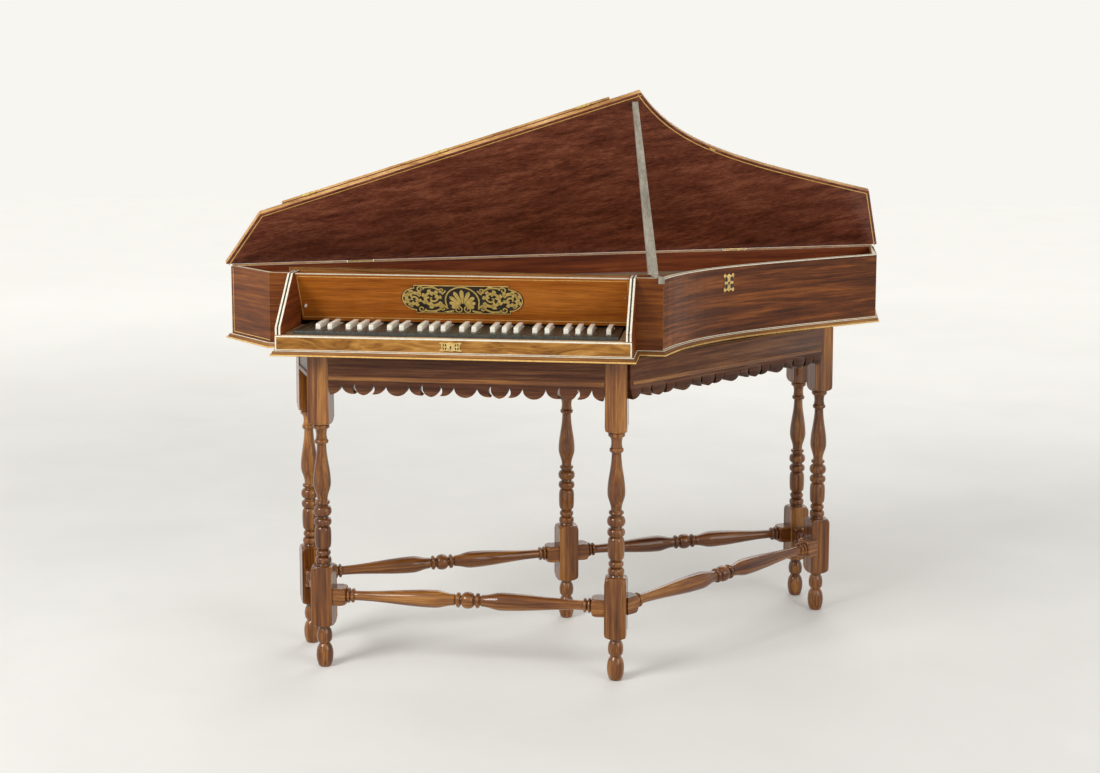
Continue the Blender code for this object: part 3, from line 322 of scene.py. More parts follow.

# %% Node group for worn edges and painted edge highlights
def wear_and_highlight_group():
    group, given, results = start_group("edge_wear_and_painted_highlight", {"Vector": "Vector"}, {"Mask": "Float"})
    geometry = group.nodes.new("ShaderNodeNewGeometry")
    rounded = group.nodes.new("ShaderNodeBevel")
    rounded.samples = 4
    rounded.inputs["Radius"].default_value = 0.0011
    likeness = group.nodes.new("ShaderNodeVectorMath")
    likeness.operation = "DOT_PRODUCT"
    group.links.new(rounded.outputs["Normal"], likeness.inputs[0])
    group.links.new(geometry.outputs["Normal"], likeness.inputs[1])
    edge = remap(group, likeness.outputs["Value"], 0, 1, 0.985, 0.80)
    broken = noise(group, given["Vector"], 9.0, 5.0)
    group.links.new(times(group, edge, broken), results["Mask"])
    return group


EDGE_WEAR_AND_HIGHLIGHT = wear_and_highlight_group()
print("inputs of the wear group:", [item.name for item in EDGE_WEAR_AND_HIGHLIGHT.interface.items_tree])

# %% [markdown]
# ## Shared effects: wood grain
# Walnut shows broad growth bands, fine lines between them and open pores, all drawn out along the grain, and
# old polish adds a cloudy shade. An image would repeat and blur close up, so the grain is noise, squeezed
# along the grain. All the woods share one group, and each gives it its own colours and scales.

# %% Node group for wood grain
BAND_EDGES = (0.36, 0.50, 0.63)
PORE_COLOUR = (0.55, 0.48, 0.44)
CLOUD_COLOURS = (0.78, 0.75, 0.72), (1.12, 1.08, 1.02)


def grain_group():
    """Figure sets how far the bands wander, and Fine Lines the share of the thin streaks."""
    group, given, results = start_group("wood_grain", {
        "Grain": "Vector", "Fine Grain": "Vector", "Place": "Vector", "Bands": "Float", "Figure": "Float",
        "Fine Lines": "Float", "Dark": "Color", "Middle": "Color", "Light": "Color",
    }, {"Color": "Color", "Pores": "Float"})
    growth = noise(group, given["Grain"], given["Bands"], 5.0, given["Figure"])
    streaks = noise(group, given["Fine Grain"], times(group, given["Bands"], 6.0), 4.0, 0.2, 0.65)
    pattern = mix_values(group, given["Fine Lines"], growth, streaks)
    colour = three_colours(group, pattern, BAND_EDGES, given["Dark"], given["Middle"], given["Light"])
    pores = noise(group, given["Fine Grain"], times(group, given["Bands"], 26.0), 2.0)
    ticks = ramp(group, pores, [(0.36, PORE_COLOUR), (0.54, (1.0, 1.0, 1.0))])
    colour = mix_colour(group, "MULTIPLY", 0.7, colour, ticks)
    cloud = noise(group, given["Place"], 3.2, 3.0)
    shade = ramp(group, cloud, [(0.30, CLOUD_COLOURS[0]), (0.70, CLOUD_COLOURS[1])])
    group.links.new(mix_colour(group, "MULTIPLY", 0.7, colour, shade), results["Color"])
    group.links.new(pores, results["Pores"])
    return group


GRAIN = grain_group()
print("nodes in the grain group:", len(GRAIN.nodes))

# %% [markdown]
# ## Shared effects: mottling
# Brass, bone and ebony are never one flat colour: brass tarnishes, bone yellows and ebony has greyer streaks.
# One flat colour would look like plastic, and a pattern for each would be hard to tell apart at this size.
# Two near colours in small spots show all three, so they share a group too.

# %% Node group for mottling
def mottle_group():
    group, given, results = start_group(
        "mottling", {"Vector": "Vector", "Scale": "Float", "Dark": "Color", "Light": "Color"},
        {"Color": "Color", "Spots": "Float"})
    spots = noise(group, given["Vector"], given["Scale"], 6.0, 0.4)
    share = remap(group, spots, 0, 1, 0.32, 0.66)
    group.links.new(mix_colour(group, "MIX", share, given["Dark"], given["Light"]), results["Color"])
    group.links.new(spots, results["Spots"])
    return group


MOTTLING = mottle_group()
print("nodes in the mottling group:", len(MOTTLING.nodes))

# %% [markdown]
# ## Recipes
# Three recipes give every finish. Polished wood takes the grain group, a thin coat for the polish, edges
# rubbed pale where hands reach and lit as a painted highlight, and on turned work painted shade in the
# grooves, where the Pointiness value is low. The lock board is burl veneer, cut from a knotted growth, whose
# figure swirls round small eyes.

# %% Helpers for materials
def object_vector(tree, turn, stretch):
    """Object coordinates, turned so that the grain runs along X, and squeezed along it."""
    coordinates = tree.nodes.new("ShaderNodeTexCoord")
    turning = tree.nodes.new("ShaderNodeMapping")
    turning.inputs["Rotation"].default_value = turn
    scaling = tree.nodes.new("ShaderNodeMapping")
    scaling.inputs["Scale"].default_value = stretch
    tree.links.new(coordinates.outputs["Object"], turning.inputs["Vector"])
    tree.links.new(turning.outputs["Vector"], scaling.inputs["Vector"])
    return scaling.outputs["Vector"]


def add_bump(tree, height, strength, shader):
    """Fine relief of a third of a millimetre."""
    bump = tree.nodes.new("ShaderNodeBump")
    bump.inputs["Strength"].default_value = strength
    bump.inputs["Distance"].default_value = 0.0003
    tree.links.new(height, bump.inputs["Height"])
    tree.links.new(bump.outputs["Normal"], shader.inputs["Normal"])


def start_material(name):
    made = bpy.data.materials.new(name)
    made.use_nodes = True
    return made, made.node_tree, made.node_tree.nodes["Principled BSDF"]


def place_group(tree, group, values):
    """Puts a group in a material with this material's own values."""
    node = tree.nodes.new("ShaderNodeGroup")
    node.node_tree = group
    for label, value in values.items():
        feed(tree, value, node.inputs[label])
    return node.outputs


print("material helpers: object_vector, add_bump, start_material, place_group")

# %% Recipe for polished wood
FLAT = (0, 0, 0)
ON_Z = (0, math.pi / 2, 0)
ON_SPINE = (0, 0, -SPINE_ANGLE)
LONG_X = (0.06, 1.0, 1.0)
LEVEL = (0.06, 0.06, 1.0)
# The colour of the painted shade in the grooves of turned work.
GROOVE_SHADE_COLOUR = (0.30, 0.24, 0.20)


def wood(name, colours, turn=FLAT, bands=26.0, figure=0.6, gloss=0.30, wear_and_highlight=None, stretch=LONG_X, coat=0.05,
         fine_lines=0.45, turned=False):
    """Polished wood; turn lays the grain, stretch draws it out, and the colour given after gloss paints
    edges, rubbed pale and lit as a painted highlight.
    """
    made, tree, shader = start_material(name)
    vector = object_vector(tree, turn, stretch)
    finer = object_vector(tree, turn, [share if share == 1 else share / 2 for share in stretch])
    dark, middle, light = colours
    grain = place_group(tree, GRAIN, {
        "Grain": vector, "Fine Grain": finer, "Place": object_vector(tree, turn, (1, 1, 1)), "Bands": bands,
        "Figure": figure, "Fine Lines": fine_lines, "Dark": dark, "Middle": middle, "Light": light,
    })
    colour = grain["Color"]
    # Painted shade: grooves of turned work, where Pointiness is low, are darkened to stand in for their
    # shade.
    if turned:
        pointed = tree.nodes.new("ShaderNodeNewGeometry")
        groove_shade = ramp(tree, pointed.outputs["Pointiness"], [(0.40, GROOVE_SHADE_COLOUR), (0.485, (1.0, 1.0, 1.0))])
        colour = mix_colour(tree, "MULTIPLY", 1.0, colour, groove_shade)
    # Edges are paled both by wear and by a painted highlight.
    if wear_and_highlight:
        mask = place_group(tree, EDGE_WEAR_AND_HIGHLIGHT, {"Vector": vector})["Mask"]
        colour = mix_colour(tree, "MIX", mask, colour, wear_and_highlight)
    tree.links.new(colour, shader.inputs["Base Color"])
    tree.links.new(remap(tree, grain["Pores"], gloss + 0.12, gloss - 0.03), shader.inputs["Roughness"])
    add_bump(tree, grain["Pores"], 0.10, shader)
    shader.inputs["Specular IOR Level"].default_value = 0.14
    shader.inputs["Coat Weight"].default_value = coat
    shader.inputs["Coat Roughness"].default_value = 0.09
    return made


print("squeeze along the grain:", LONG_X[0])

# %% Recipes for burl and for plain substances
def burl(name, dark, middle, light):
    """Figured veneer: long wavy streaks that swirl round small knots."""
    made, tree, shader = start_material(name)
    swirl = noise(tree, object_vector(tree, FLAT, (0.22, 0.22, 1.0)), 34.0, 8.0, 2.2, 0.6)
    colour = three_colours(tree, swirl, (0.30, 0.48, 0.66), dark, middle, light)
    eyes = tree.nodes.new("ShaderNodeTexVoronoi")
    eyes.inputs["Scale"].default_value = 40.0
    tree.links.new(object_vector(tree, FLAT, (0.6, 0.6, 1.0)), eyes.inputs["Vector"])
    spots = ramp(tree, eyes.outputs["Distance"], [(0.03, (0.42, 0.32, 0.26)), (0.16, (1.0, 1.0, 1.0))])
    tree.links.new(mix_colour(tree, "MULTIPLY", 0.7, colour, spots), shader.inputs["Base Color"])
    tree.links.new(remap(tree, swirl, 0.24, 0.36), shader.inputs["Roughness"])
    shader.inputs["Specular IOR Level"].default_value = 0.16
    shader.inputs["Coat Weight"].default_value = 0.06
    shader.inputs["Coat Roughness"].default_value = 0.12
    return made


def mottled(name, dark, light, roughness, metallic=0.0, scale=60.0, bump_strength=0.08):
    """A plain substance with slight tarnish or yellowing, such as bone, ebony or brass."""
    made, tree, shader = start_material(name)
    vector = object_vector(tree, FLAT, (1, 1, 1))
    mottling = place_group(tree, MOTTLING, {"Vector": vector, "Scale": scale, "Dark": dark, "Light": light})
    spots = mottling["Spots"]
    tree.links.new(mottling["Color"], shader.inputs["Base Color"])
    tree.links.new(remap(tree, spots, roughness + 0.12, roughness - 0.05), shader.inputs["Roughness"])
    shader.inputs["Metallic"].default_value = metallic
    add_bump(tree, spots, bump_strength, shader)
    return made


print("recipes: 3")

# %% [markdown]
# ## The finishes
# The stand and the case are walnut of different ages and cuts, so they differ in depth of colour, and the
# rails are painted darker than the legs, as shade under the case. The lid is redder, the moulding paler, and
# the nameboard the warmest of all. Colours are written as they should look under plain light, except the
# painted shade and highlights. The pale lines are boxwood, some of them painted highlights, the sharps bone
# and the naturals ebony.

# %% Colours of the woods
# Pale edge colours: wear on the edges together with a painted highlight.
RUBBED_AND_HIGHLIT = (0.620, 0.380, 0.150)
RUBBED_AND_HIGHLIT_PALE = (0.80, 0.62, 0.36)
RUBBED_AND_HIGHLIT_EDGE = (0.86, 0.70, 0.44)
RUBBED_AND_HIGHLIT_GREY = (0.60, 0.58, 0.52)
WOODS = {
    "stand": ((0.060, 0.013, 0.003), (0.215, 0.072, 0.013), (0.460, 0.205, 0.045)),
    "rail": ((0.032, 0.009, 0.004), (0.105, 0.036, 0.015), (0.225, 0.098, 0.042)),
    "case": ((0.034, 0.008, 0.002), (0.140, 0.038, 0.009), (0.330, 0.105, 0.024)),
    "end": ((0.060, 0.014, 0.002), (0.175, 0.047, 0.007), (0.310, 0.105, 0.018)),
    "spine": ((0.080, 0.015, 0.005), (0.190, 0.044, 0.012), (0.300, 0.082, 0.022)),
    "lid": ((0.078, 0.020, 0.012), (0.205, 0.062, 0.036), (0.350, 0.125, 0.070)),
    "moulding": ((0.110, 0.040, 0.010), (0.270, 0.115, 0.030), (0.480, 0.240, 0.080)),
    "edge": ((0.340, 0.150, 0.040), (0.600, 0.330, 0.110), (0.780, 0.510, 0.230)),
    "nameboard": ((0.330, 0.092, 0.012), (0.500, 0.155, 0.020), (0.620, 0.215, 0.034)),
    "plain": ((0.200, 0.120, 0.060), (0.290, 0.185, 0.100), (0.380, 0.260, 0.150)),
    "spruce": ((0.430, 0.205, 0.050), (0.560, 0.300, 0.085), (0.660, 0.400, 0.140)),
    "grey": ((0.250, 0.235, 0.190), (0.370, 0.350, 0.290), (0.500, 0.480, 0.410)),
}
print("dark, middle and light of", len(WOODS), "woods")

# %% The woods
leg_wood = wood("leg_walnut", WOODS["stand"], ON_Z, 30.0, 0.7, 0.22, RUBBED_AND_HIGHLIT, coat=0.65, turned=True)
stretcher_wood = wood("stretcher_walnut", WOODS["stand"], FLAT, 30.0, 0.7, 0.22, RUBBED_AND_HIGHLIT, LEVEL, 0.65,
                      turned=True)
# The rail walnut is darker than the legs' to paint the shade under the case.
rail_wood_painted_shade = wood("rail_walnut_painted_shade", WOODS["rail"], FLAT, 26.0, 1.0, 0.24, RUBBED_AND_HIGHLIT, LEVEL, 0.15)
case_wood = wood("case_walnut", WOODS["case"], FLAT, 34.0, 1.2, 0.24, RUBBED_AND_HIGHLIT, LEVEL, 0.10)
end_wood = wood("end_walnut", WOODS["end"], FLAT, 26.0, 1.4, 0.28, RUBBED_AND_HIGHLIT, LEVEL)
spine_wood = wood("spine_walnut", WOODS["spine"], FLAT, 24.0, 0.6, 0.36, None, LEVEL)
lid_wood = wood("lid_walnut", WOODS["lid"], (0, 0, -0.10), 46.0, 0.4, 0.34, None, (0.035, 1.0, 1.0),
                fine_lines=0.50)
moulding_wood = wood("moulding_walnut", WOODS["moulding"], FLAT, 30.0, 0.5, 0.26, RUBBED_AND_HIGHLIT_PALE, LEVEL)
# Pale edge wood: a painted highlight on the rounded edges of the lid, its bead and the flap.
edge_wood_painted_highlight = wood("edge_walnut_painted_highlight", WOODS["edge"], FLAT, 30.0, 0.5, 0.26, RUBBED_AND_HIGHLIT_EDGE)
name_wood = wood("nameboard_walnut", WOODS["nameboard"], FLAT, 24.0, 1.2, 0.28)
plain_wood = wood("plain_wood", WOODS["plain"], FLAT, 40.0, 0.3, 0.55)
spruce = wood("spruce", WOODS["spruce"], ON_SPINE, 85.0, 0.1, 0.40)
grey_wood = wood("grey_wood", WOODS["grey"], ON_Z, 45.0, 0.3, 0.50, RUBBED_AND_HIGHLIT_GREY)
lock_burl = burl("lock_burl", (0.120, 0.040, 0.008), (0.330, 0.140, 0.024), (0.540, 0.280, 0.070))
print("woods:", len(bpy.data.materials))

# %% Lines, keys and metals
box_line = mottled("boxwood_line", (0.780, 0.710, 0.530), (0.930, 0.890, 0.740), 0.35, 0.0, 120.0)
dark_line = mottled("dark_line", (0.012, 0.009, 0.008), (0.030, 0.022, 0.018), 0.32, 0.0, 120.0)
gold_line = mottled("gold_line", (0.660, 0.360, 0.080), (0.860, 0.560, 0.190), 0.35, 0.0, 120.0)
ebony = mottled("ebony", (0.020, 0.021, 0.015), (0.060, 0.060, 0.046), 0.32, 0.0, 240.0)
bone = mottled("bone", (0.760, 0.700, 0.560), (0.900, 0.870, 0.770), 0.28, 0.0, 90.0)
brass = mottled("brass", (0.500, 0.310, 0.090), (0.840, 0.630, 0.260), 0.30, 1.0, 160.0, 0.15)
gilt = mottled("gilt", (0.480, 0.320, 0.070), (0.780, 0.570, 0.180), 0.42, 0.2, 200.0, 0.2)
steel = mottled("string_steel", (0.300, 0.290, 0.270), (0.480, 0.460, 0.430), 0.30, 1.0, 300.0)
floor_paint = mottled("floor_paint", (0.730, 0.720, 0.690), (0.770, 0.760, 0.730), 0.85, 0.0, 2.0, 0.02)
print("materials:", len(bpy.data.materials))

# %% [markdown]
# ## A floor that meets the backdrop
# A plain floor ends in a grey line against a pale backdrop. More light would cure that and bleach the wood,
# so the floor glows a little instead: faintly under the spinet, where its shadow must stay, and fully far
# off. Only the camera and reflections see the glow, so it lights nothing.

# %% Glow of the far floor
GLOW_STARTS, GLOW_ENDS = 1.2, 6.5
GLOW_NEAR, GLOW_FAR = 0.08, 0.555


def lighten_far_floor(material):
    tree = material.node_tree
    shader = tree.nodes["Principled BSDF"]
    coordinates = tree.nodes.new("ShaderNodeTexCoord")
    distance = tree.nodes.new("ShaderNodeVectorMath")
    distance.operation = "LENGTH"
    tree.links.new(coordinates.outputs["Object"], distance.inputs[0])
    spread = remap(tree, distance.outputs["Value"], GLOW_NEAR, GLOW_FAR, GLOW_STARTS, GLOW_ENDS)
    spread.node.interpolation_type = "SMOOTHSTEP"
    shader.inputs["Emission Color"].default_value = (*PALE, 1)
    tree.links.new(times(tree, spread, seen_directly(tree)), shader.inputs["Emission Strength"])


lighten_far_floor(floor_paint)
print("glow from", GLOW_STARTS, "to", GLOW_ENDS, "m")

# %% [markdown]
# ## From a bmesh to a piece
# A `bmesh` is a mesh in memory that operators can shape. Every piece is built in one and put in place in its
# mesh, so that its object stays at the origin and patterns on Object coordinates stay put. `piece` then says
# which body carries it. `join` adds one shape to another, which keeps a piece made of many parts one object.

# %% Pieces
def piece(name, work, material, body="case", place=None, sharp=38):
    """Turns a bmesh into a piece that rides on a body; edges sharper than so many degrees stay sharp."""
    if place is not None:
        bmesh.ops.transform(work, matrix=place, verts=work.verts)
    bmesh.ops.recalc_face_normals(work, faces=work.faces)
    mesh = bpy.data.meshes.new(name)
    work.to_mesh(mesh)
    work.free()
    mesh.materials.append(material)
    mesh.shade_smooth()
    mesh.set_sharp_from_angle(angle=math.radians(sharp))
    obj = bpy.data.objects.new(name, mesh)
    scene.collection.objects.link(obj)
    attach(obj, body)
    return obj


def join(work, part, place=Matrix.Identity(4)):
    """Adds a finished part to a larger piece, at its place."""
    bmesh.ops.transform(part, matrix=place, verts=part.verts)
    bmesh.ops.recalc_face_normals(part, faces=part.faces)
    carrier = bpy.data.meshes.new("carrier")
    part.to_mesh(carrier)
    part.free()
    work.from_mesh(carrier)
    bpy.data.meshes.remove(carrier)


# %% [markdown]
# ## Turned work
# On a lathe the wood spins and one profile is cut all round, so `spin` is the operator that follows the real
# tool. A leg is turned from square stock. It could be put together from blocks and turned lengths, with a
# seam at each meeting. Here its profile is spun whole and then planed flat wherever it passes the square.

# %% Turnings
SQUARE_STEPS = 48
SQUARE_EDGE = 0.0011


def add_spin(work, profile, steps, place=Matrix.Identity(4)):
    """A turned form about Z, from (radius, height) points."""
    part = bmesh.new()
    verts = [part.verts.new((radius, 0, height)) for radius, height in profile]
    edges = [part.edges.new(pair) for pair in zip(verts, verts[1:])]
    bmesh.ops.spin(part, geom=verts + edges, axis=(0, 0, 1), cent=(0, 0, 0), steps=steps,
                   angle=2 * math.pi, use_merge=True)
    bmesh.ops.remove_doubles(part, verts=part.verts, dist=0.000005)
    join(work, part, place)


def add_squared_turning(work, profile, half_square, place):
    """A turning from square stock: what reaches past the square's sides is planed flat on them."""
    part = bmesh.new()
    add_spin(part, profile, SQUARE_STEPS)
    for vert in part.verts:
        vert.co.x = max(-half_square, min(half_square, vert.co.x))
        vert.co.y = max(-half_square, min(half_square, vert.co.y))
    near = half_square - 0.0001
    corners = {vert for vert in part.verts if abs(vert.co.x) > near and abs(vert.co.y) > near}
    edges = [edge for edge in part.edges if corners.issuperset(edge.verts)]
    bmesh.ops.bevel(part, geom=edges, offset=SQUARE_EDGE, segments=2, profile=0.5, affect="EDGES",
                    material=-1)
    join(work, part, place)


print("spin steps for square stock:", SQUARE_STEPS)

# %% [markdown]
# ## The stand
# Six legs are turned from square stock, which is left square at the top, for the rails, and low down, for the
# stretchers. Between the squares a turner cuts beads, which are half rounds, and vases, which swell and draw
# in again. Both follow formulas here, because a list of points would show as facets on such long curves.

# %% Forms that the turner cuts
SHOULDER = 0.013


def bead(top, bottom, radius, core, steps=8):
    """A half-round ring, as (radius, height) points."""
    middle, half = (top + bottom) / 2, (top - bottom) / 2
    made = [(core, top)]
    for step in range(1, steps):
        turn = math.pi * (0.5 - step / steps)
        made.append((core + (radius - core) * math.cos(turn), middle + half * math.sin(turn)))
    return made + [(core, bottom)]


def vase(top, bottom, start, widest, end, share, steps=22):
    """A swelling that is widest at a share of its height, and eases in and out on a cosine."""
    made = []
    for step in range(steps + 1):
        t = step / steps
        if t < share:
            radius = start + (widest - start) * (0.5 - 0.5 * math.cos(math.pi * t / share))
        else:
            radius = widest + (end - widest) * (0.5 - 0.5 * math.cos(math.pi * (t - share) / (1 - share)))
        made.append((radius, top + (bottom - top) * t))
    return made


def shoulder(level, direction, neck, reach, steps=8):
    """The dome where round work swells out to square stock; cut flat on four sides, it gives arched faces."""
    made = []
    for step in range(steps + 1):
        turn = math.pi / 2 * step / steps
        height = level + direction * SHOULDER * (1 - math.cos(turn))
        made.append((neck + (reach - neck) * math.sin(turn), height))
    return made


print("points in a bead:", len(bead(0.01, 0, 0.02, 0.01)))

# %% Profile of a leg
LEG_REACH = BLOCK / 2 * math.sqrt(2) * 1.03
TOP_BLOCK_FOOT = 0.549
LOWER_BLOCK = (0.094, 0.232)


def leg_profile():
    """The leg's turning from top to bottom, as (radius, height) points."""
    made = [(0, STAND_TOP), (LEG_REACH, STAND_TOP)]
    made += shoulder(TOP_BLOCK_FOOT, 1, 0.0165, LEG_REACH)[::-1]
    made += bead(0.5485, 0.5395, 0.0185, 0.0165)
    made += [(0.0135, 0.537), (0.0118, 0.531), (0.0115, 0.523), (0.0128, 0.517)]
    made += bead(0.515, 0.505, 0.0155, 0.012)
    made += vase(0.503, 0.379, 0.0105, 0.0195, 0.0115, 0.70)
    made += bead(0.377, 0.368, 0.0165, 0.012)
    made += bead(0.365, 0.342, 0.0200, 0.012, 12)
    made += bead(0.338, 0.320, 0.0195, 0.013, 10)
    made += [(0.0150, 0.3175), (0.0168, 0.3150), (0.0178, 0.3110), (0.0183, 0.3040), (0.0184, 0.2940)]
    made += [(0.0182, 0.2850), (0.0177, 0.2770), (0.0166, 0.2720), (0.0140, 0.2690)]
    made += bead(0.265, 0.252, 0.0165, 0.012)
    made += bead(0.249, 0.235, 0.0180, 0.0150)
    made += shoulder(LOWER_BLOCK[1], -1, 0.0165, LEG_REACH)
    made += shoulder(LOWER_BLOCK[0], 1, 0.0150, LEG_REACH)[::-1]
    made += [(0.0120, 0.087), (0.0150, 0.082), (0.0168, 0.074), (0.0170, 0.067), (0.0160, 0.059)]
    made += [(0.0110, 0.052), (0.0140, 0.048), (0.0165, 0.043), (0.0185, 0.034), (0.0190, 0.025)]
    return made + [(0.0183, 0.016), (0.0160, 0.006), (0.0140, 0.0015), (0.0120, 0.0), (0, 0)]


print("points in a leg's profile:", len(leg_profile()))

# %% Legs
LEGS = {
    "leg_front_left": (plan(0.1285, -0.0514), 0.0),
    "leg_front_right": (plan(0.779, -0.0514), 0.0),
    "leg_side_right": (from_spine(1.385, 0.216), SPINE_ANGLE),
    "leg_back_right": (from_spine(1.385, 0.0988), SPINE_ANGLE),
    "leg_back_middle": (from_spine(0.777, 0.0988), SPINE_ANGLE),
    "leg_back_left": (from_spine(0.159, 0.0988), SPINE_ANGLE),
}
RING = (
    ("front", "leg_front_left", "leg_front_right"),
    ("right", "leg_front_right", "leg_side_right"),
    ("tail", "leg_side_right", "leg_back_right"),
    ("back_right", "leg_back_right", "leg_back_middle"),
    ("back_left", "leg_back_middle", "leg_back_left"),
    ("left", "leg_back_left", "leg_front_left"),
)


def make_leg(name):
    place, turn = LEGS[name]
    work = bmesh.new()
    stand = Matrix.Translation((*place, 0)) @ Matrix.Rotation(turn, 4, "Z")
    add_squared_turning(work, leg_profile(), BLOCK / 2, stand)
    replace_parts(piece(name + "_turning", work, leg_wood, "case", None, 50), name)


for leg_name in LEGS:
    make_leg(leg_name)
print("legs:", len(LEGS))

# %% [markdown]
# ## The stretchers
# Turned stretchers tie the legs near the floor. Each is the same on both halves, with a ball in its middle.
# The whole profile could be listed, but half of it and a mirror image can't drift apart. A stretcher is
# turned upright, as the legs are, and then laid down.

# %% Stretchers
STRETCHER_SQUARE = 0.038
STRETCHER_LEVEL = 0.163
SHORT_STRETCHER = 0.06
BALL_STEPS = 10


def stretcher_profile(half):
    """Half of a stretcher's turning, from one end to the ball in its middle."""
    made = bead(half - 0.0010, half - 0.0080, 0.0168, 0.0110)
    ball = [(0.0105, 0.0140)]
    for step in range(1, BALL_STEPS + 1):
        turn = math.pi / 2 * step / BALL_STEPS
        ball.append((0.0105 + 0.0078 * math.sin(turn), 0.0135 * math.cos(turn)))
    if half < SHORT_STRETCHER:
        return made + ball
    made += bead(half - 0.0100, half - 0.0180, 0.0160, 0.0100)
    made += vase(half - 0.0210, 0.030, 0.0105, 0.0195, 0.0125, 0.80, 26)
    made += [(0.0102, 0.0285)] + bead(0.0265, 0.0165, 0.0168, 0.0102)
    return made + ball


def make_stretcher(side, first, last):
    """A stretcher between two legs, turned about its own length and then laid down."""
    start, end = LEGS[first][0], LEGS[last][0]
    direction = (end - start).normalized()
    free = (end - start).length / 2 - BLOCK / 2
    square = min(0.030, free * 0.40)
    reach = STRETCHER_SQUARE / 2 * math.sqrt(2) * 1.03
    neck = free - square
    half = [(0, free + 0.004), (reach, free + 0.004)] + shoulder(neck, 1, 0.0150, reach)[::-1]
    half += stretcher_profile(neck)
    profile = half + [(radius, -height) for radius, height in reversed(half[:-1])]
    angle = math.atan2(direction.y, direction.x)
    lay = Matrix.Translation((*((start + end) / 2), STRETCHER_LEVEL)) @ Matrix.Rotation(angle, 4, "Z")
    work = bmesh.new()
    add_squared_turning(work, profile, STRETCHER_SQUARE / 2, lay @ Matrix.Rotation(math.pi / 2, 4, "Y"))
    made = piece(f"stretcher_{side}_turning", work, stretcher_wood, "case", None, 50)
    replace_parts(made, "stretcher_" + side)


for side, first, last in RING:
    make_stretcher(side, first, last)
print("stretchers:", len(RING))

# %% [markdown]
# ## The scalloped aprons
# The front and right rails end in a fretted edge: a round lobe, a leaf, a heart and a leaf, over and over. A
# Boolean for each cut would be slow and fragile. The edge is drawn instead as one outline, the way a sawyer
# marked a board from a single pattern: half a repeat in short curves, then its mirror image. Above the edge
# runs a small bead. A curve with a bevel could make it, but its section would twist at corners, where a
# joiner cuts a mitre, so mouldings are loops of vertices that meet in true mitres and are bridged.

# %% Pattern of an apron
APRON = 0.031
APRON_REPEAT = 0.149
LOBE_STEPS = 9


def bend(start, pull, end, steps=6):
    """A curve from one point to another, drawn towards a third; the start is left out."""
    made = []
    for step in range(1, steps + 1):
        t = step / steps
        a, b, c = (1 - t) ** 2, 2 * t * (1 - t), t * t
        made.append(tuple(start[i] * a + pull[i] * b + end[i] * c for i in (0, 1)))
    return made


def apron_repeat(width):
    """One repeat as (distance, depth) points, from the middle of one lobe to the middle of the next."""
    lobe, leaf, heart = width * 0.16, width * 0.21, width * 0.13
    slit = APRON * 0.14
    points = []
    for step in range(LOBE_STEPS + 1):
        turn = math.pi / 2 * step / LOBE_STEPS
        points.append((lobe * math.sin(turn), APRON * (0.34 + 0.66 * math.cos(turn))))
    points.append((lobe + 0.0012, APRON * 0.22))
    root, tip, gap = points[-1], (lobe + leaf * 1.02, APRON * 0.92), (lobe + leaf, slit)
    points += bend(root, (lobe + leaf * 0.16, APRON * 0.98), tip)
    points += bend(tip, (lobe + leaf * 0.66, APRON * 0.62), gap)
    shoulder_point = (width / 2 - heart * 0.98, APRON * 0.45)
    points += bend(gap, (gap[0] + 0.0012, APRON * 0.28), shoulder_point, 3)
    points += bend(shoulder_point, (width / 2 - heart * 0.80, APRON * 0.92), (width / 2, APRON))
    return points + [(width - distance, depth) for distance, depth in reversed(points[:-1])]


print("points in a repeat:", len(apron_repeat(APRON_REPEAT)))

# %% Boards cut to an outline
def axes(origin, x_axis, y_axis):
    """A placing with its X and Y along two directions."""
    x_axis = Vector(x_axis).normalized()
    y_axis = Vector(y_axis).normalized()
    rotation = Matrix((x_axis, y_axis, x_axis.cross(y_axis))).transposed()
    return Matrix.Translation(Vector(origin)) @ rotation.to_4x4()


def add_prism(work, outline, thickness, place, rounding=0.0, segments=2):
    """A flat outline with a thickness on +Z, its top edges rounded where asked."""
    part = bmesh.new()
    verts = [part.verts.new((x, y, 0)) for x, y in outline]
    ring = [part.edges.new((verts[index - 1], verts[index])) for index in range(len(verts))]
    face = bmesh.ops.contextual_create(part, geom=ring)["faces"][0]
    grown = bmesh.ops.extrude_face_region(part, geom=[face], use_keep_orig=True)["geom"]
    top = [item for item in grown if isinstance(item, bmesh.types.BMVert)]
    bmesh.ops.translate(part, vec=(0, 0, thickness), verts=top)
    if rounding:
        chosen = set(top)
        edges = {edge for vert in top for edge in vert.link_edges if edge.other_vert(vert) in chosen}
        bmesh.ops.bevel(part, geom=list(edges), offset=rounding, segments=segments, profile=0.5,
                        affect="EDGES", material=-1, clamp_overlap=True)
    join(work, part, place)


print("a board lies on XY, and its thickness is on Z")

# %% Mouldings along an edge
def miters(points, closed):
    """How each point of a plan outline moves for one unit outwards, with mitred corners."""
    made = []
    count = len(points)
    for index, point in enumerate(points):
        before = point - points[index - 1] if index or closed else None
        after = points[(index + 1) % count] - point if index < count - 1 or closed else None
        first = right_of((before or after).normalized())
        second = right_of((after or before).normalized())
        made.append((first + second) / (1 + first.dot(second)))
    return made


def add_sweep(work, points, level, profile, closed=False):
    """A moulding along a plan outline; profile gives (out, up) points round its section."""
    part = bmesh.new()
    loops = []
    for point, move in zip(points, miters(points, closed)):
        verts = [part.verts.new((*(point + move * out), level + up)) for out, up in profile]
        loops.append([part.edges.new((verts[i - 1], verts[i])) for i in range(len(verts))])
    for index in range(0 if closed else 1, len(loops)):
        bmesh.ops.bridge_loops(part, edges=loops[index - 1] + loops[index])
    if not closed:
        for loop in (loops[0], loops[-1]):
            bmesh.ops.contextual_create(part, geom=loop)
    join(work, part)


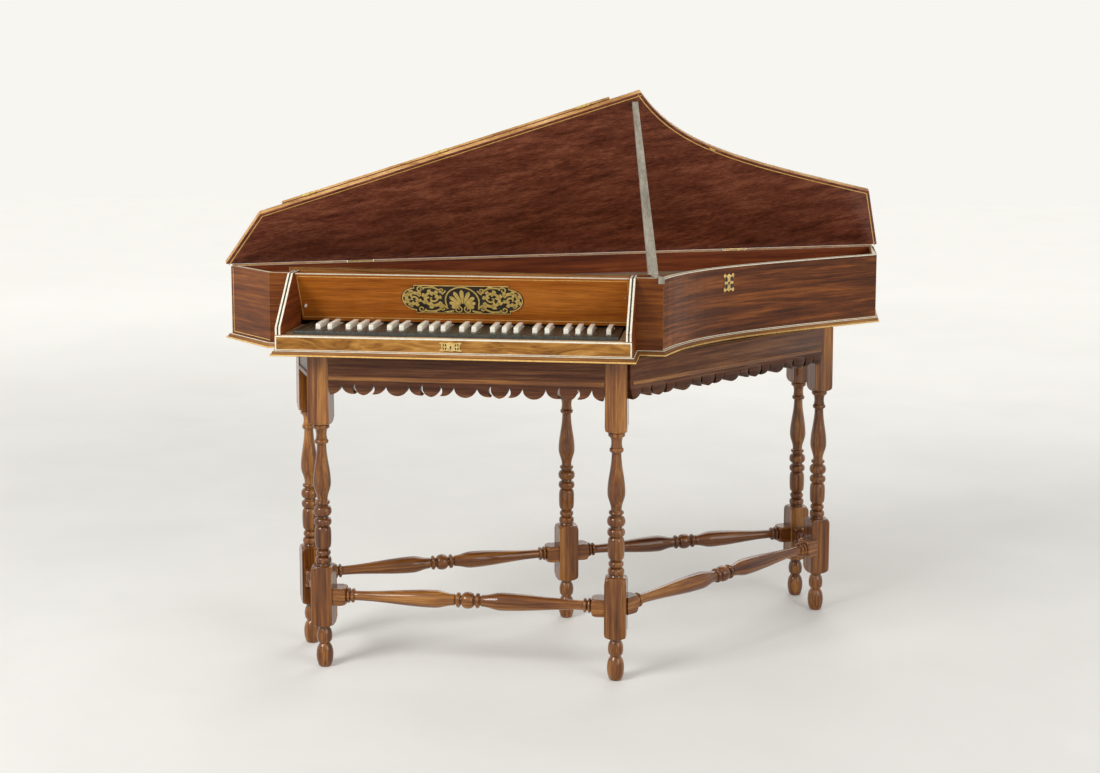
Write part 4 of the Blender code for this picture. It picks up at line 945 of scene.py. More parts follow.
print("a mitre grows with the turn:", [round(move.length, 2) for move in miters(BENTSIDE[:3], False)])

# %% Rails with an apron
RAIL = 0.020
RAIL_FOOT = STAND_TOP - 0.057
RAIL_INSET = 0.0008
RAIL_BEAD = [(0, 0.0006), (0.0018, 0.0010), (0.0030, 0.0035), (0.0030, 0.0065), (0.0018, 0.0090), (0, 0.0096)]


def make_apron_rail(side, first, last):
    """A rail between two legs with a fretted lower edge, and the half-round bead above it."""
    start, end = LEGS[first][0], LEGS[last][0]
    along = (end - start).normalized()
    outward = right_of(along)
    length = (end - start).length
    face = start + outward * (BLOCK / 2 - RAIL - RAIL_INSET)
    hidden = BLOCK / 2 - 0.004
    outline = [(length - hidden, RAIL_FOOT), (length - hidden, STAND_TOP)]
    outline += [(hidden, STAND_TOP), (hidden, RAIL_FOOT)]
    margin = BLOCK / 2 + 0.004
    count = round((length - 2 * margin) / APRON_REPEAT)
    width = (length - 2 * margin) / count
    for number in range(count):
        for distance, depth in apron_repeat(width)[number > 0:]:
            outline.append((margin + number * width + distance, RAIL_FOOT - depth))
    work = bmesh.new()
    add_prism(work, outline, RAIL, axes((*face, 0), (*along, 0), UP), 0.0004, 2)
    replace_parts(piece(f"apron_{side}", work, rail_wood_painted_shade, "case"), "rail_" + side)
    front = start + outward * (BLOCK / 2 - RAIL_INSET)
    ends = [front + along * (BLOCK / 2 + 0.002), front + along * (length - BLOCK / 2 - 0.002)]
    work = bmesh.new()
    add_sweep(work, ends, RAIL_FOOT, RAIL_BEAD)
    piece(f"apron_bead_{side}", work, stretcher_wood, "case")


for side, first, last in RING[:2]:
    make_apron_rail(side, first, last)
print("aprons: 2")

# %% [markdown]
# ## The keyboard
# On old keyboards the colours are often the other way round: ebony naturals and pale bone sharps. Seven
# naturals share an octave evenly at their heads, and behind the sharps their tails share what is left. An
# Array would give equal keys, but no two tails in an octave lie alike, so each outline is worked out.

# %% Sizes of the keys
NATURALS = "B" + "CDEFGAB" * 4 + "CD"
PITCH = 0.160 / 7
SLOT = 0.0115
KEY_GAP = 0.0005
KEY_BLOCK = 0.018
KEY_FRONT = -0.072
HEAD = 0.036
KEY_TOP = 0.757
KEY_BOTTOM = 0.735
KEYS_LEFT = KEYBOX_LEFT + CHEEK + KEY_BLOCK + KEY_GAP
JACK_LEFT = Vector((0.020, 0.1706))
JACK_RIGHT = Vector((0.806, 0.0705))
print("naturals:", len(NATURALS), "of", round(PITCH * 1000, 2), "mm")

# %% Outline of a natural
def has_sharp(index):
    return 0 < index < len(NATURALS) - 1 and NATURALS[index] in "CDFGA"


def tail_edges(index):
    group = "CDE" if NATURALS[index] in "CDE" else "FGAB"
    place, count = group.index(NATURALS[index]), len(group)
    tail = (count * PITCH - (count - 1) * SLOT) / count
    left = KEYS_LEFT + (index - place) * PITCH + place * (tail + SLOT)
    right = left + tail
    if not has_sharp(index - 1):
        left = KEYS_LEFT + index * PITCH
    if not has_sharp(index):
        right = KEYS_LEFT + (index + 1) * PITCH
    return left, right


def jack_y(x):
    """How far behind the case's front the row of jacks is."""
    slope = (JACK_RIGHT.y - JACK_LEFT.y) / (JACK_RIGHT.x - JACK_LEFT.x)
    return JACK_LEFT.y + slope * (x - JACK_LEFT.x)


def key_outline(index):
    """A natural's outline, from its wide head to its narrow tail under the jacks."""
    half = KEY_GAP / 2
    left, right = tail_edges(index)
    head_left = KEYS_LEFT + index * PITCH
    head_right = head_left + PITCH
    shoulder = KEY_FRONT + HEAD
    corners = [
        (head_left + half, KEY_FRONT), (head_right - half, KEY_FRONT), (head_right - half, shoulder),
        (right - half, shoulder), (right - half, jack_y(right) + 0.006), (left + half, jack_y(left) + 0.006),
        (left + half, shoulder), (head_left + half, shoulder),
    ]
    kept = [corners[0]]
    for corner in corners[1:]:
        if math.dist(corner, kept[-1]) > 0.0001:
            kept.append(corner)
    return [tuple(plan(*corner)) for corner in kept]


print("corners of a key between two sharps:", len(key_outline(9)))

# %% [markdown]
# ## Naturals and sharps
# Eight keys of one stretch play: they are levers on bodies of their own, and the others stay with the case.
# Each natural is a board with softened edges. A sharp is drawn from the side, with the slope at its front,
# and half its width is made and mirrored, so that both its sides are rounded alike. The frame holds the fixed
# keys as combs, and one key of each comb stands for it.

# %% Naturals
MOVING = {15: "key_c", 16: "key_d", 17: "key_e", 18: "key_f", 19: "key_g"}


def make_natural(index):
    work = bmesh.new()
    lever = Matrix.Translation((0, 0, KEY_BOTTOM))
    add_prism(work, key_outline(index), KEY_TOP - KEY_BOTTOM, lever, 0.0006, 2)
    name = MOVING.get(index)
    made = piece(f"natural_{index}", work, ebony, name or "case", None, 30)
    if name:
        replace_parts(made, name)
    return made


naturals = [make_natural(index) for index in range(len(NATURALS))]
for comb, index in {"naturals_bass": 7, "naturals_treble": 25}.items():
    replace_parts(naturals[index], comb)
print("naturals:", len(naturals))

# %% Sharps
MOVING_SHARPS = {15: "key_c_sharp", 16: "key_d_sharp", 18: "key_f_sharp"}
SHARP_TOP = KEY_TOP + 0.011
SHARP_BACK = 0.0410
SHARP_FRONT = KEY_FRONT + HEAD + 0.0035


def sharp_outline(x):
    """A sharp from the side: its lever, and its raised top with a slope at the front."""
    back = jack_y(x) - 0.005
    lever_top = KEY_TOP - 0.001
    lever = [(SHARP_FRONT, KEY_BOTTOM), (back, KEY_BOTTOM), (back, lever_top), (SHARP_BACK, lever_top)]
    return lever + [
        (SHARP_BACK, SHARP_TOP), (SHARP_FRONT + 0.006, SHARP_TOP), (SHARP_FRONT + 0.002, SHARP_TOP - 0.0015),
        (SHARP_FRONT, SHARP_TOP - 0.005),
    ]


def make_sharp(index):
    x = (tail_edges(index)[1] + tail_edges(index + 1)[0]) / 2
    width = SLOT - 2 * KEY_GAP
    work = bmesh.new()
    add_prism(work, sharp_outline(x), width / 2, Matrix.Identity(4), 0.0011, 3)
    join(work, work.copy(), Matrix.Scale(-1, 4, UP))
    name = MOVING_SHARPS.get(index)
    place = axes((*plan(x, 0), 0), (0, 1, 0), UP)
    made = piece(f"sharp_{index}", work, bone, name or "case", place, 30)
    if name:
        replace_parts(made, name)
    return made


sharps = {index: make_sharp(index) for index in range(len(NATURALS)) if has_sharp(index)}
for comb, index in {"sharps_bass": 6, "sharps_treble": 25}.items():
    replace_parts(sharps[index], comb)
print("sharps:", len(sharps))

# %% [markdown]
# ## Stringing
# Thin lines of boxwood and of a darker wood are let into the case near its edges. Drawn in the material they
# would blur and miss the corners. Cut into the walls they would cost many Booleans. So each line is a strip
# of real geometry that stands a few tenths of a millimetre proud, as old stringing often does. Pale strips on
# some top edges and above the base moulding are made the same way, as painted highlights.

# %% Strips
def add_ribbon(work, points, normal, width, height):
    """A raised strip along points on a surface, whose direction normal gives; width may be a list."""
    part = bmesh.new()
    loops = []
    count = len(points)
    for index, point in enumerate(points):
        ahead = points[min(index + 1, count - 1)]
        behind = points[max(index - 1, 0)]
        out = normal(index)
        wide = width if isinstance(width, float) else width[index]
        side = (ahead - behind).cross(out).normalized() * (wide / 2)
        corners = [point - side, point + side, point + side + out * height, point - side + out * height]
        verts = [part.verts.new(corner) for corner in corners]
        loops.append([part.edges.new((verts[i - 1], verts[i])) for i in range(4)])
    for first, second in zip(loops, loops[1:]):
        bmesh.ops.bridge_loops(part, edges=first + second)
    for loop in (loops[0], loops[-1]):
        bmesh.ops.contextual_create(part, geom=loop)
    join(work, part)


print("sides of a strip: 4")

# %% Helpers for lines
INLAY = 0.0003
THIN = INLAY * 0.35


def single_line(name, points, normal, width, material=box_line, height=INLAY):
    work = bmesh.new()
    add_ribbon(work, points, normal, width, height)
    piece(name, work, material)


def triple_line(name, points, normal, width, height=INLAY):
    """A pale strip with a dark one let into its middle."""
    single_line(name + "_pale", points, normal, width, height=height)
    single_line(name + "_dark", points, normal, width * 0.30, dark_line, height * 1.5)


def flat_line(start, end, level_a, level_b):
    return [Vector((*start, level_a)), Vector((*end, level_b))]


print("a line stands", INLAY * 1000, "mm proud")

# %% Lines on the walls
GOLD_WIDTH = 0.0014
foot_level = CASE_BOTTOM + 0.0150
low, high = foot_level + 0.002, CASE_TOP - 0.003
left_way = (CORNER - SPINE_LEFT).normalized()
left_out = Vector((*right_of(left_way), 0))
near_back = SPINE_LEFT + left_way * 0.010
end_line = flat_line(near_back, near_back, low, high)
single_line("left_end_line", end_line, lambda index: left_out, GOLD_WIDTH, gold_line)
foot_line = flat_line(near_back, CORNER, low, low)
single_line("left_foot_line", foot_line, lambda index: left_out, GOLD_WIDTH, gold_line)
tail_way = (SPINE_RIGHT - BENTSIDE[-1]).normalized()
tail_out = Vector((*right_of(tail_way), 0))
near_side = BENTSIDE[-1] + tail_way * 0.006
tail_line = flat_line(near_side, near_side, low, high)
single_line("tail_line", tail_line, lambda index: tail_out, GOLD_WIDTH, gold_line)


def side_normal(index):
    """The way out of the bentside at one of its points."""
    ahead = BENTSIDE[min(index + 1, len(BENTSIDE) - 1)]
    behind = BENTSIDE[max(index - 1, 0)]
    return Vector((*right_of((ahead - behind).normalized()), 0))


# The rim strip is no stringing: it paints the highlight on the bentside's top edge.
for label, level, width in (("foot", foot_level - 0.0018, 0.0018), ("rim", CASE_TOP - 0.0014, 0.0020)):
    side_line = [Vector((*point, level)) for point in BENTSIDE]
    single_line(f"bentside_{label}_line", side_line, side_normal, width)
print("lines on the walls: 5")

# %% [markdown]
# ## The cheeks' edges
# The cheeks are the two sides of the key box. Their sloping front edges carry a broad pale band with a dark
# line along its middle, and the lock board in front of the keys has pale lines at its edges. Two boards with
# three strips each could be typed out, but a loop over left and right keeps both sides alike.

# %% Lines on the cheeks
BAND = 0.0118


def to_front(index):
    return Vector((0, -1, 0))


def front_line(x, low, high):
    """An upright line on the key box's front."""
    return [Vector((*plan(x, -KEYBOX_DEPTH), low)), Vector((*plan(x, -KEYBOX_DEPTH), high))]


for label, left in (("left", KEYBOX_LEFT), ("right", KEYBOX_RIGHT - CHEEK)):
    x = left + CHEEK / 2
    top, foot = Vector((*plan(x, 0), CASE_TOP)), Vector((*plan(x, -KEYBOX_DEPTH), CHEEK_STEP))
    slope = (foot - top).normalized()
    out = slope.cross(Vector((1, 0, 0)))
    triple_line(f"cheek_{label}_slope", [top + slope * 0.001, foot], lambda index, out=out: out, BAND)
    nose = front_line(x, CHEEK_STEP - 0.0005, LOCK_TOP + 0.001)
    triple_line(f"cheek_{label}_nose", nose, to_front, BAND)
    rim = [Vector((*plan(x, 0.001), CASE_TOP)), Vector((*plan(x, 0.050), CASE_TOP))]
    triple_line(f"cheek_{label}_rim", rim, lambda index: UP, BAND, THIN)
    edge_x = left + 0.0022 if label == "left" else left + CHEEK - 0.0022
    stile = front_line(edge_x, foot_level - 0.003, LOCK_TOP - 0.0005)
    single_line(f"lock_line_{label}", stile, to_front, 0.0028)
print("slope of the cheeks:", round(math.degrees(math.atan2(-slope.z, -slope.y))), "degrees")

# %% Lines on the lock board
lock_ends = plan(KEYBOX_LEFT + 0.0035, -KEYBOX_DEPTH), plan(KEYBOX_RIGHT - 0.0035, -KEYBOX_DEPTH)
# The foot strip paints the highlight along the top of the base moulding.
for label, level, width in (("foot", foot_level - 0.0018, 0.0014), ("head", LOCK_TOP - 0.0020, 0.0030)):
    single_line("lock_line_" + label, flat_line(*lock_ends, level, level), to_front, width)
top_ends = [plan(x, -KEYBOX_DEPTH + 0.0034) for x in (KEYBOX_LEFT + 0.0005, KEYBOX_RIGHT - 0.0005)]
single_line("lock_top_line", flat_line(*top_ends, LOCK_TOP, LOCK_TOP), lambda index: UP, 0.0060)
print("lock board:", round((lock_ends[1] - lock_ends[0]).length, 3), "m")

# %% [markdown]
# ## The base moulding
# A small ogee moulding hides the joint between case and stand. Its section is one convex and one concave
# curve, which a joiner cut with a single plane. Carried round the whole plan outline, it turns every corner
# in a mitre by itself. A gilt strip on its lip and a pale one on its crown are painted highlights where the
# moulding catches the light.

# %% Base moulding
MOULDING_SECTION = [
    (0.0002, 0), (0.0088, 0), (0.0092, 0.0006), (0.0092, 0.0030), (0.0086, 0.0038), (0.0070, 0.0044),
    (0.0060, 0.0054), (0.0056, 0.0070), (0.0050, 0.0088), (0.0038, 0.0104), (0.0022, 0.0114),
    (0.0002, 0.0118),
]
MOULDING_FIT = 0.977
LIP_HIGHLIGHT = [(0.0084, 0.0002), (0.00915, 0.0006), (0.00915, 0.0032), (0.0084, 0.0037)]
CROWN_HIGHLIGHT = [(0.0026, 0.0108), (0.0036, 0.0100), (0.0042, 0.0106), (0.0030, 0.0116)]
box_corners = [
    (KEYBOX_LEFT, 0), (KEYBOX_LEFT, -KEYBOX_DEPTH), (KEYBOX_RIGHT, -KEYBOX_DEPTH), (KEYBOX_RIGHT, 0),
]
base_outline = [SPINE_LEFT, CORNER] + [plan(*corner) for corner in box_corners] + BENTSIDE + [SPINE_RIGHT]


def base_strip(name, section, material):
    work = bmesh.new()
    add_sweep(work, base_outline, CASE_BOTTOM, section, True)
    return piece(name, work, material, "case")


fitted = [(out * MOULDING_FIT, up) for out, up in MOULDING_SECTION]
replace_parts(base_strip("base_ogee", fitted, moulding_wood), "base_moulding")
# Painted highlights: a gilt strip on the lip and a pale one on the crown.
base_strip("base_highlight_lip", LIP_HIGHLIGHT, gold_line)
base_strip("base_highlight_crown", CROWN_HIGHLIGHT, box_line)
print("corners of the base:", len(base_outline))

# %% [markdown]
# ## The rim
# The top edge of the case shows when the lid is open, and a pale strip along the middle of it paints the
# highlight that the edge catches. The outline of the walls, scaled down, would drift off them. So the strip's
# line is worked out point by point, half the walls' thickness inside their outer faces, with each corner
# mitred.

# %% Painted highlights along the rim of the case
RIM_HIGHLIGHT_WIDTH = 0.0086
SHARPEST_MITRE = 0.4


def rim_middle(points):
    """The middle of the wall's top along an open plan outline."""
    made = []
    count = len(points)
    for index, point in enumerate(points):
        ahead = points[min(index + 1, count - 1)] - point
        behind = point - points[max(index - 1, 0)]
        ahead = ahead.normalized() if ahead.length > 0 else behind.normalized()
        behind = behind.normalized() if behind.length > 0 else ahead
        side = right_of((ahead + behind).normalized())
        inwards = side * WALL * 0.5 / max(SHARPEST_MITRE, side.dot(right_of(ahead)))
        made.append(Vector((*(point - inwards), CASE_TOP)))
    return made


RIMS = {
    "left": [SPINE_LEFT, CORNER, plan(KEYBOX_LEFT, 0)],
    "right": [plan(KEYBOX_RIGHT, 0)] + BENTSIDE + [SPINE_RIGHT, SPINE_LEFT],
}
# Each pale strip is a painted highlight on the walls' top edges.
for label, points in RIMS.items():
    single_line(f"rim_highlight_{label}", rim_middle(points), lambda index: UP, RIM_HIGHLIGHT_WIDTH, box_line, THIN)

# %% [markdown]
# ## The nameboard
# The board behind the keys leans back and hides the jacks, and a gilt line frames it. Drawn on the slope,
# each point would need its own sine and cosine. So everything on the board is drawn flat, in the board's own
# plane, and one matrix lays it on the slope.

# %% Border of the nameboard
NAME_TOP = Vector((0.006, CASE_TOP - 0.001))
NAME_FOOT = Vector((0.063, KEY_TOP + 0.004))
name_up = Vector((0, NAME_TOP.x - NAME_FOOT.x, NAME_TOP.y - NAME_FOOT.y)).normalized()
name_middle = (NAME_TOP + NAME_FOOT) / 2
NAME_PLACE = axes((*plan(KEYBOX_MIDDLE, name_middle.x), name_middle.y), (1, 0, 0), name_up)
HALF_WIDE = (KEYBOX_RIGHT - KEYBOX_LEFT) / 2 - CHEEK
HALF_TALL = (NAME_TOP - NAME_FOOT).length / 2


def on_board(points, lift=0.0):
    return [Vector((x, y, lift)) for x, y in points]


def board_line(name, points, width, height, material, lift=0.0):
    work = bmesh.new()
    add_ribbon(work, on_board(points, lift), lambda index: UP, width, height)
    piece(name, work, material, "case", NAME_PLACE)


corner_x, corner_y = HALF_WIDE - 0.004, HALF_TALL - 0.009
BORDER = {
    "top": [(-corner_x, corner_y), (corner_x, corner_y)],
    "foot": [(-corner_x, -corner_y), (corner_x, -corner_y)],
    "bass": [(-corner_x, -corner_y), (-corner_x, corner_y)],
    "treble": [(corner_x, -corner_y), (corner_x, corner_y)],
}
for label, points in BORDER.items():
    board_line(f"name_border_{label}", points, 0.0016, 0.0003, gold_line)
rim_ends = [(-HALF_WIDE + 0.001, HALF_TALL - 0.0015), (HALF_WIDE - 0.001, HALF_TALL - 0.0015)]
board_line("name_top_edge", rim_ends, 0.003, 0.0004, box_line)
print("nameboard:", round(HALF_WIDE * 2, 3), "by", round(HALF_TALL * 2, 3), "m")

# %% [markdown]
# ## The cartouche
# A dark panel with a half round at each end is let into the board's middle. The real one holds traditional
# scrolls and leaves round a shell, cut from thin metal and veneer. An image would be flat and blurred, so the
# ornament is drawn: volutes are spirals, leaves are pointed outlines, and both stand half a millimetre high.

# %% Ground of the cartouche
PANEL_HALF, PANEL_TALL, PANEL_LOBE = 0.107, 0.038, 0.030
PANEL_LIFT = 0.0011
EDGE_IN = 0.0015


def lobed_outline(half, tall, lobe, steps=20):
    """A panel with a half round at each end."""
    made = [(-half, -tall), (half, -tall)]
    for step in range(steps + 1):
        turn = math.pi * (step / steps - 0.5)
        made.append((half + lobe * math.cos(turn), lobe * math.sin(turn)))
    made += [(half, tall), (-half, tall)]
    for step in range(steps + 1):
        turn = math.pi * (step / steps + 0.5)
        made.append((-half + lobe * math.cos(turn), lobe * math.sin(turn)))
    return made


work = bmesh.new()
add_prism(work, lobed_outline(PANEL_HALF, PANEL_TALL, PANEL_LOBE), PANEL_LIFT, NAME_PLACE)
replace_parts(piece("cartouche_ground", work, dark_line, "case"), "nameboard_plaque")
edge = lobed_outline(PANEL_HALF - EDGE_IN, PANEL_TALL - EDGE_IN, PANEL_LOBE - EDGE_IN)
board_line("cartouche_edge", edge + edge[:2], 0.0022, 0.0004, gold_line, PANEL_LIFT)
print("points round the panel:", len(edge))

# %% Helpers for scrolls and leaves
RELIEF = 0.0006


def from_angle(centre, reach, angle):
    return (centre[0] + reach * math.cos(angle), centre[1] + reach * math.sin(angle))


def spiral(centre, start_radius, turns, start_angle, sign, steps=34):
    """Points of a volute that winds in towards its centre."""
    made = []
    for step in range(steps + 1):
        t = step / steps
        radius = start_radius * (1 - t) ** 0.75 + 0.0008
        angle = start_angle + sign * turns * 2 * math.pi * t
        made.append(from_angle(centre, radius, angle))
    return made


def leaf(root, tip, bend_out, fatness, widest=0.45, steps=10):
    """A curved, pointed leaf from its root to its tip."""
    root, tip = Vector(root), Vector(tip)
    side = right_of((tip - root).normalized())
    left, right = [], []
    for step in range(steps + 1):
        t = step / steps
        middle = root.lerp(tip, t) + side * bend_out * math.sin(math.pi * t)
        before, after = t / widest, (t - widest) / (1 - widest)
        swell = math.sin(math.pi / 2 * before) if t < widest else math.cos(math.pi / 2 * after)
        half = fatness * max(0.0, swell) ** 0.7 + 0.0002
        left.append(tuple(middle - side * half))
        right.append(tuple(middle + side * half))
    return right + left[::-1]


def add_stroke(points, first_width, last_width):
    """A raised line that thins evenly from one end to the other."""
    last = len(points) - 1
    widths = [first_width + (last_width - first_width) * index / last for index in range(last + 1)]
    add_ribbon(scrolls, on_board(points, PANEL_LIFT), lambda index: UP, widths, RELIEF)


def add_leaf(root, tip, bend_out, fatness, widest=0.45):
    outline = leaf(root, tip, bend_out, fatness, widest)
    add_prism(scrolls, outline, RELIEF, Matrix.Translation((0, 0, PANEL_LIFT)), 0.0002, 1)


print("points in a leaf:", len(leaf((0, 0), (0.01, 0), 0.001, 0.002)))

# %% Shell in the middle
SHELL_FOOT = (0, -0.017)
ARCH_FOOT = (0, -0.014)
SHELL_RIBS = 9
ARCH_STEPS = 36
scrolls = bmesh.new()
for rib in range(SHELL_RIBS):
    angle = math.pi * (-0.04 + 1.08 * rib / (SHELL_RIBS - 1))
    length = 0.026 + 0.017 * max(0.0, math.sin(angle))
    add_leaf(from_angle(SHELL_FOOT, 0.0060, angle), from_angle(SHELL_FOOT, length, angle), 0.0, 0.0044, 0.78)
arch = []
for step in range(ARCH_STEPS + 1):
    turn = math.pi * (-0.10 + 1.20 * step / ARCH_STEPS)
    arch.append(from_angle(ARCH_FOOT, 0.0360 + 0.0110 * max(0, math.sin(turn)), turn))
add_stroke(arch, 0.0030, 0.0030)
print("ribs of the shell:", SHELL_RIBS)

# %% Scrolls and leaves on both sides
VOLUTES = (((0.066, 0.003), 0.0205, 1.55, 1), ((0.110, -0.001), 0.0185, 1.5, -1))


def fits_in_panel(tip, side):
    """Whether a leaf's tip stays on the panel or on the lobe at its end."""
    in_panel = abs(tip[1]) < PANEL_TALL - 0.003 and abs(tip[0]) < PANEL_HALF - 0.003
    in_lobe = math.dist(tip, (side * PANEL_HALF, 0)) < PANEL_LOBE - 0.0025
    return in_panel or in_lobe


def add_volute(side, centre, radius, turns, turn_sign):
    """A spiral with leaves along its outside and smaller ones on its inside."""
    middle = (side * centre[0], centre[1])
    sign = side * turn_sign
    start = (math.pi if side > 0 else 0.0) + sign * 0.5
    add_stroke(spiral(middle, radius, turns, start, sign), 0.0078, 0.0028)
    for number in range(7):
        angle = start + sign * (0.1 + 0.88 * number)
        rim = radius * (1 - 0.055 * number)
        tip = from_angle(middle, rim * 1.44, angle + sign * 0.46)
        if fits_in_panel(tip, side):
            add_leaf(from_angle(middle, rim * 0.96, angle), tip, sign * 0.0014, 0.0040)
    for number in range(4):
        angle = start + sign * (1.2 + 1.3 * number)
        rim = radius * (0.80 - 0.10 * number)
        inner = from_angle(middle, rim * 0.52, angle + sign * 0.5)
        add_leaf(from_angle(middle, rim, angle), inner, sign * 0.0010, 0.0024)


def add_stem(side, tall, inward):
    """A stem along the panel's edge, with a small scroll at each end and two leaves."""
    stem = bend((side * 0.040, tall * 0.010), (side * 0.052, tall * 0.038), (side * 0.086, tall * 0.030), 14)
    add_stroke(stem, 0.0044, 0.0028)
    add_stroke(spiral((side * 0.0925, tall * 0.0260), 0.0075, 1.2, inward, -side * tall), 0.0034, 0.0018)
    add_stroke(spiral((side * 0.0440, tall * 0.0240), 0.0070, 1.2, inward, side * tall), 0.0034, 0.0018)
    add_leaf((side * 0.056, tall * 0.029), (side * 0.070, tall * 0.0345), side * tall * -0.001, 0.0020)
    add_leaf((side * 0.112, tall * 0.0205), (side * 0.124, tall * 0.0150), side * tall * 0.002, 0.0022)


for side in (-1, 1):
    inward = math.pi if side > 0 else 0.0
    add_stroke(spiral((side * 0.011, -0.0265), 0.0085, 1.3, math.pi / 2, side), 0.0030, 0.0016)
    add_leaf((side * 0.020, -0.029), (side * 0.042, -0.033), side * 0.002, 0.0022)
    for volute in VOLUTES:
        add_volute(side, *volute)
    for tall in (-1, 1):
        add_stem(side, tall, inward)
print("faces in the scrolls:", len(scrolls.faces))
piece("cartouche_scrolls", scrolls, gilt, "case", NAME_PLACE)

# %% [markdown]
# ## The small knob
# A turned bone knob near the bass end helps to lift the nameboard out. A squashed sphere could stand for it,
# but it would have no neck. It is spun like the legs, from a profile with a round head and a thin neck.

# %% Knob
KNOB_FROM_CHEEK = 0.014
KNOB_DROP = 0.022
KNOB_PROFILE = [
    (0, 0.0080), (0.0016, 0.0078), (0.0029, 0.0069), (0.0036, 0.0054), (0.0033, 0.0040),
    (0.0024, 0.0028), (0.0021, 0.0012), (0.0030, 0.0004), (0.0030, 0), (0, 0),
]
work = bmesh.new()
knob_place = (KNOB_FROM_CHEEK - HALF_WIDE, -KNOB_DROP, GAP)
add_spin(work, KNOB_PROFILE, 28, NAME_PLACE @ Matrix.Translation(knob_place))
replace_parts(piece("bass_knob", work, bone, "case"), "nameboard_knob")
print("knob:", KNOB_PROFILE[0][1] * 1000, "mm tall")

# %% [markdown]
# ## Lock plates
# Two cast and pierced brass plates guard the keyholes, one in front and one on the bentside. Real piercings
# would need many small cuts. The plate is cut to its outline, with ears and cusps, and dark leaves lie on it
# a quarter of a millimetre high, which from any distance read as holes. Round pin heads hold it.

# %% Shapes of the lock plates
PLATE = 0.0013
PLATE_TOP = Matrix.Translation((0, 0, PLATE - 0.00005))
EAR_STEPS = 10
HOLE_STEPS = 14


def plate_outline(half_wide, half_tall):
    """A plate with a round ear at each corner, hollow sides and a small cusp above and below."""
    quarter = [(0.78, 0)]
    for step in range(EAR_STEPS + 1):
        turn = math.radians(-75 + 235 * step / EAR_STEPS)
        quarter.append((0.77 + 0.23 * math.cos(turn), 0.75 + 0.23 * math.sin(turn)))
    quarter += [(0.34, 0.80), (0.16, 0.88), (0, 0.97)]
    upper = quarter + [(-x, y) for x, y in reversed(quarter[:-1])]
    whole = upper + [(x, -y) for x, y in reversed(upper[1:-1])]
    return [(half_wide * x, half_tall * y) for x, y in whole]


def add_keyhole(work, place, size):
    """A round hole over a narrower slot, as a dark shape on the plate."""
    turns = [math.pi * (1.32 - 1.64 * step / HOLE_STEPS) for step in range(HOLE_STEPS + 1)]
    slot = [(size * 0.36, -size * 2.3), (-size * 0.36, -size * 2.3)]
    add_prism(work, [from_angle((0, 0), size, turn) for turn in turns] + slot, 0.0003, place)


def add_piercings(work, place, half_wide, half_tall):
    """Four pairs of leaves, as dark shapes round the keyhole."""
    for across in (-1, 1):
        for up in (-1, 1):
            for near, far, fat in ((0.38, 0.44, 0.15), (0.66, 0.58, 0.11)):
                root = (across * half_wide * near, up * half_tall * 0.10)
                tip = (across * half_wide * far, up * half_tall * 0.66)
                add_prism(work, leaf(root, tip, across * up * 0.0008, half_tall * fat), 0.0002, place)


print("points round a plate:", len(plate_outline(1, 1)))

# %% Lock plates
PIN_HEAD = [(0, 0.0009), (0.0010, 0.0006), (0.0014, 0), (0, 0)]


def make_plate(name, node, place, half_wide, half_tall, hole):
    """A plate that stands for its node, with its keyhole, piercings and pins."""
    work = bmesh.new()
    add_prism(work, plate_outline(half_wide, half_tall), PLATE, place, 0.0004, 2)
    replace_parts(piece(name, work, brass, "case"), node)
    # The keyhole and piercings are not cut: dark shapes on the plate paint the shade inside them.
    work = bmesh.new()
    add_keyhole(work, place @ PLATE_TOP, hole)
    add_piercings(work, place @ PLATE_TOP, half_wide, half_tall)
    piece(name + "_keyhole", work, dark_line, "case")
    work = bmesh.new()
    for sign in (-1, 1):
        add_spin(work, PIN_HEAD, 14, place @ Matrix.Translation((sign * half_wide * 0.78, 0, PLATE - 0.0001)))
    piece(name + "_pins", work, brass, "case")


front_place = axes((*plan(KEYBOX_MIDDLE, -KEYBOX_DEPTH - GAP), LOCK_TOP - 0.017), (1, 0, 0), UP)
make_plate("front_plate", "escutcheon_front", front_place, 0.0245, 0.0103, 0.0022)
lock_middle = (BENTSIDE[8] + BENTSIDE[9]) / 2
lock_way = (BENTSIDE[9] - BENTSIDE[8]).normalized()
side_place = axes((*(lock_middle + right_of(lock_way) * GAP), CASE_TOP - 0.037), (*lock_way, 0), UP)
make_plate("side_plate", "escutcheon_side", side_place, 0.0175, 0.0215, 0.0030)
print("plates: 2")

# %% [markdown]
# ## Inside the case
# Strings run from the tuning pins over the bridge to pins behind it. Each could be a curve of its own, but
# fifty thin wires make a heavy scene, so all the strings are one piece of four-sided strips, and all the
# pins another. Every other pin stands further forward, as in a real wrest plank, to leave room for the key.

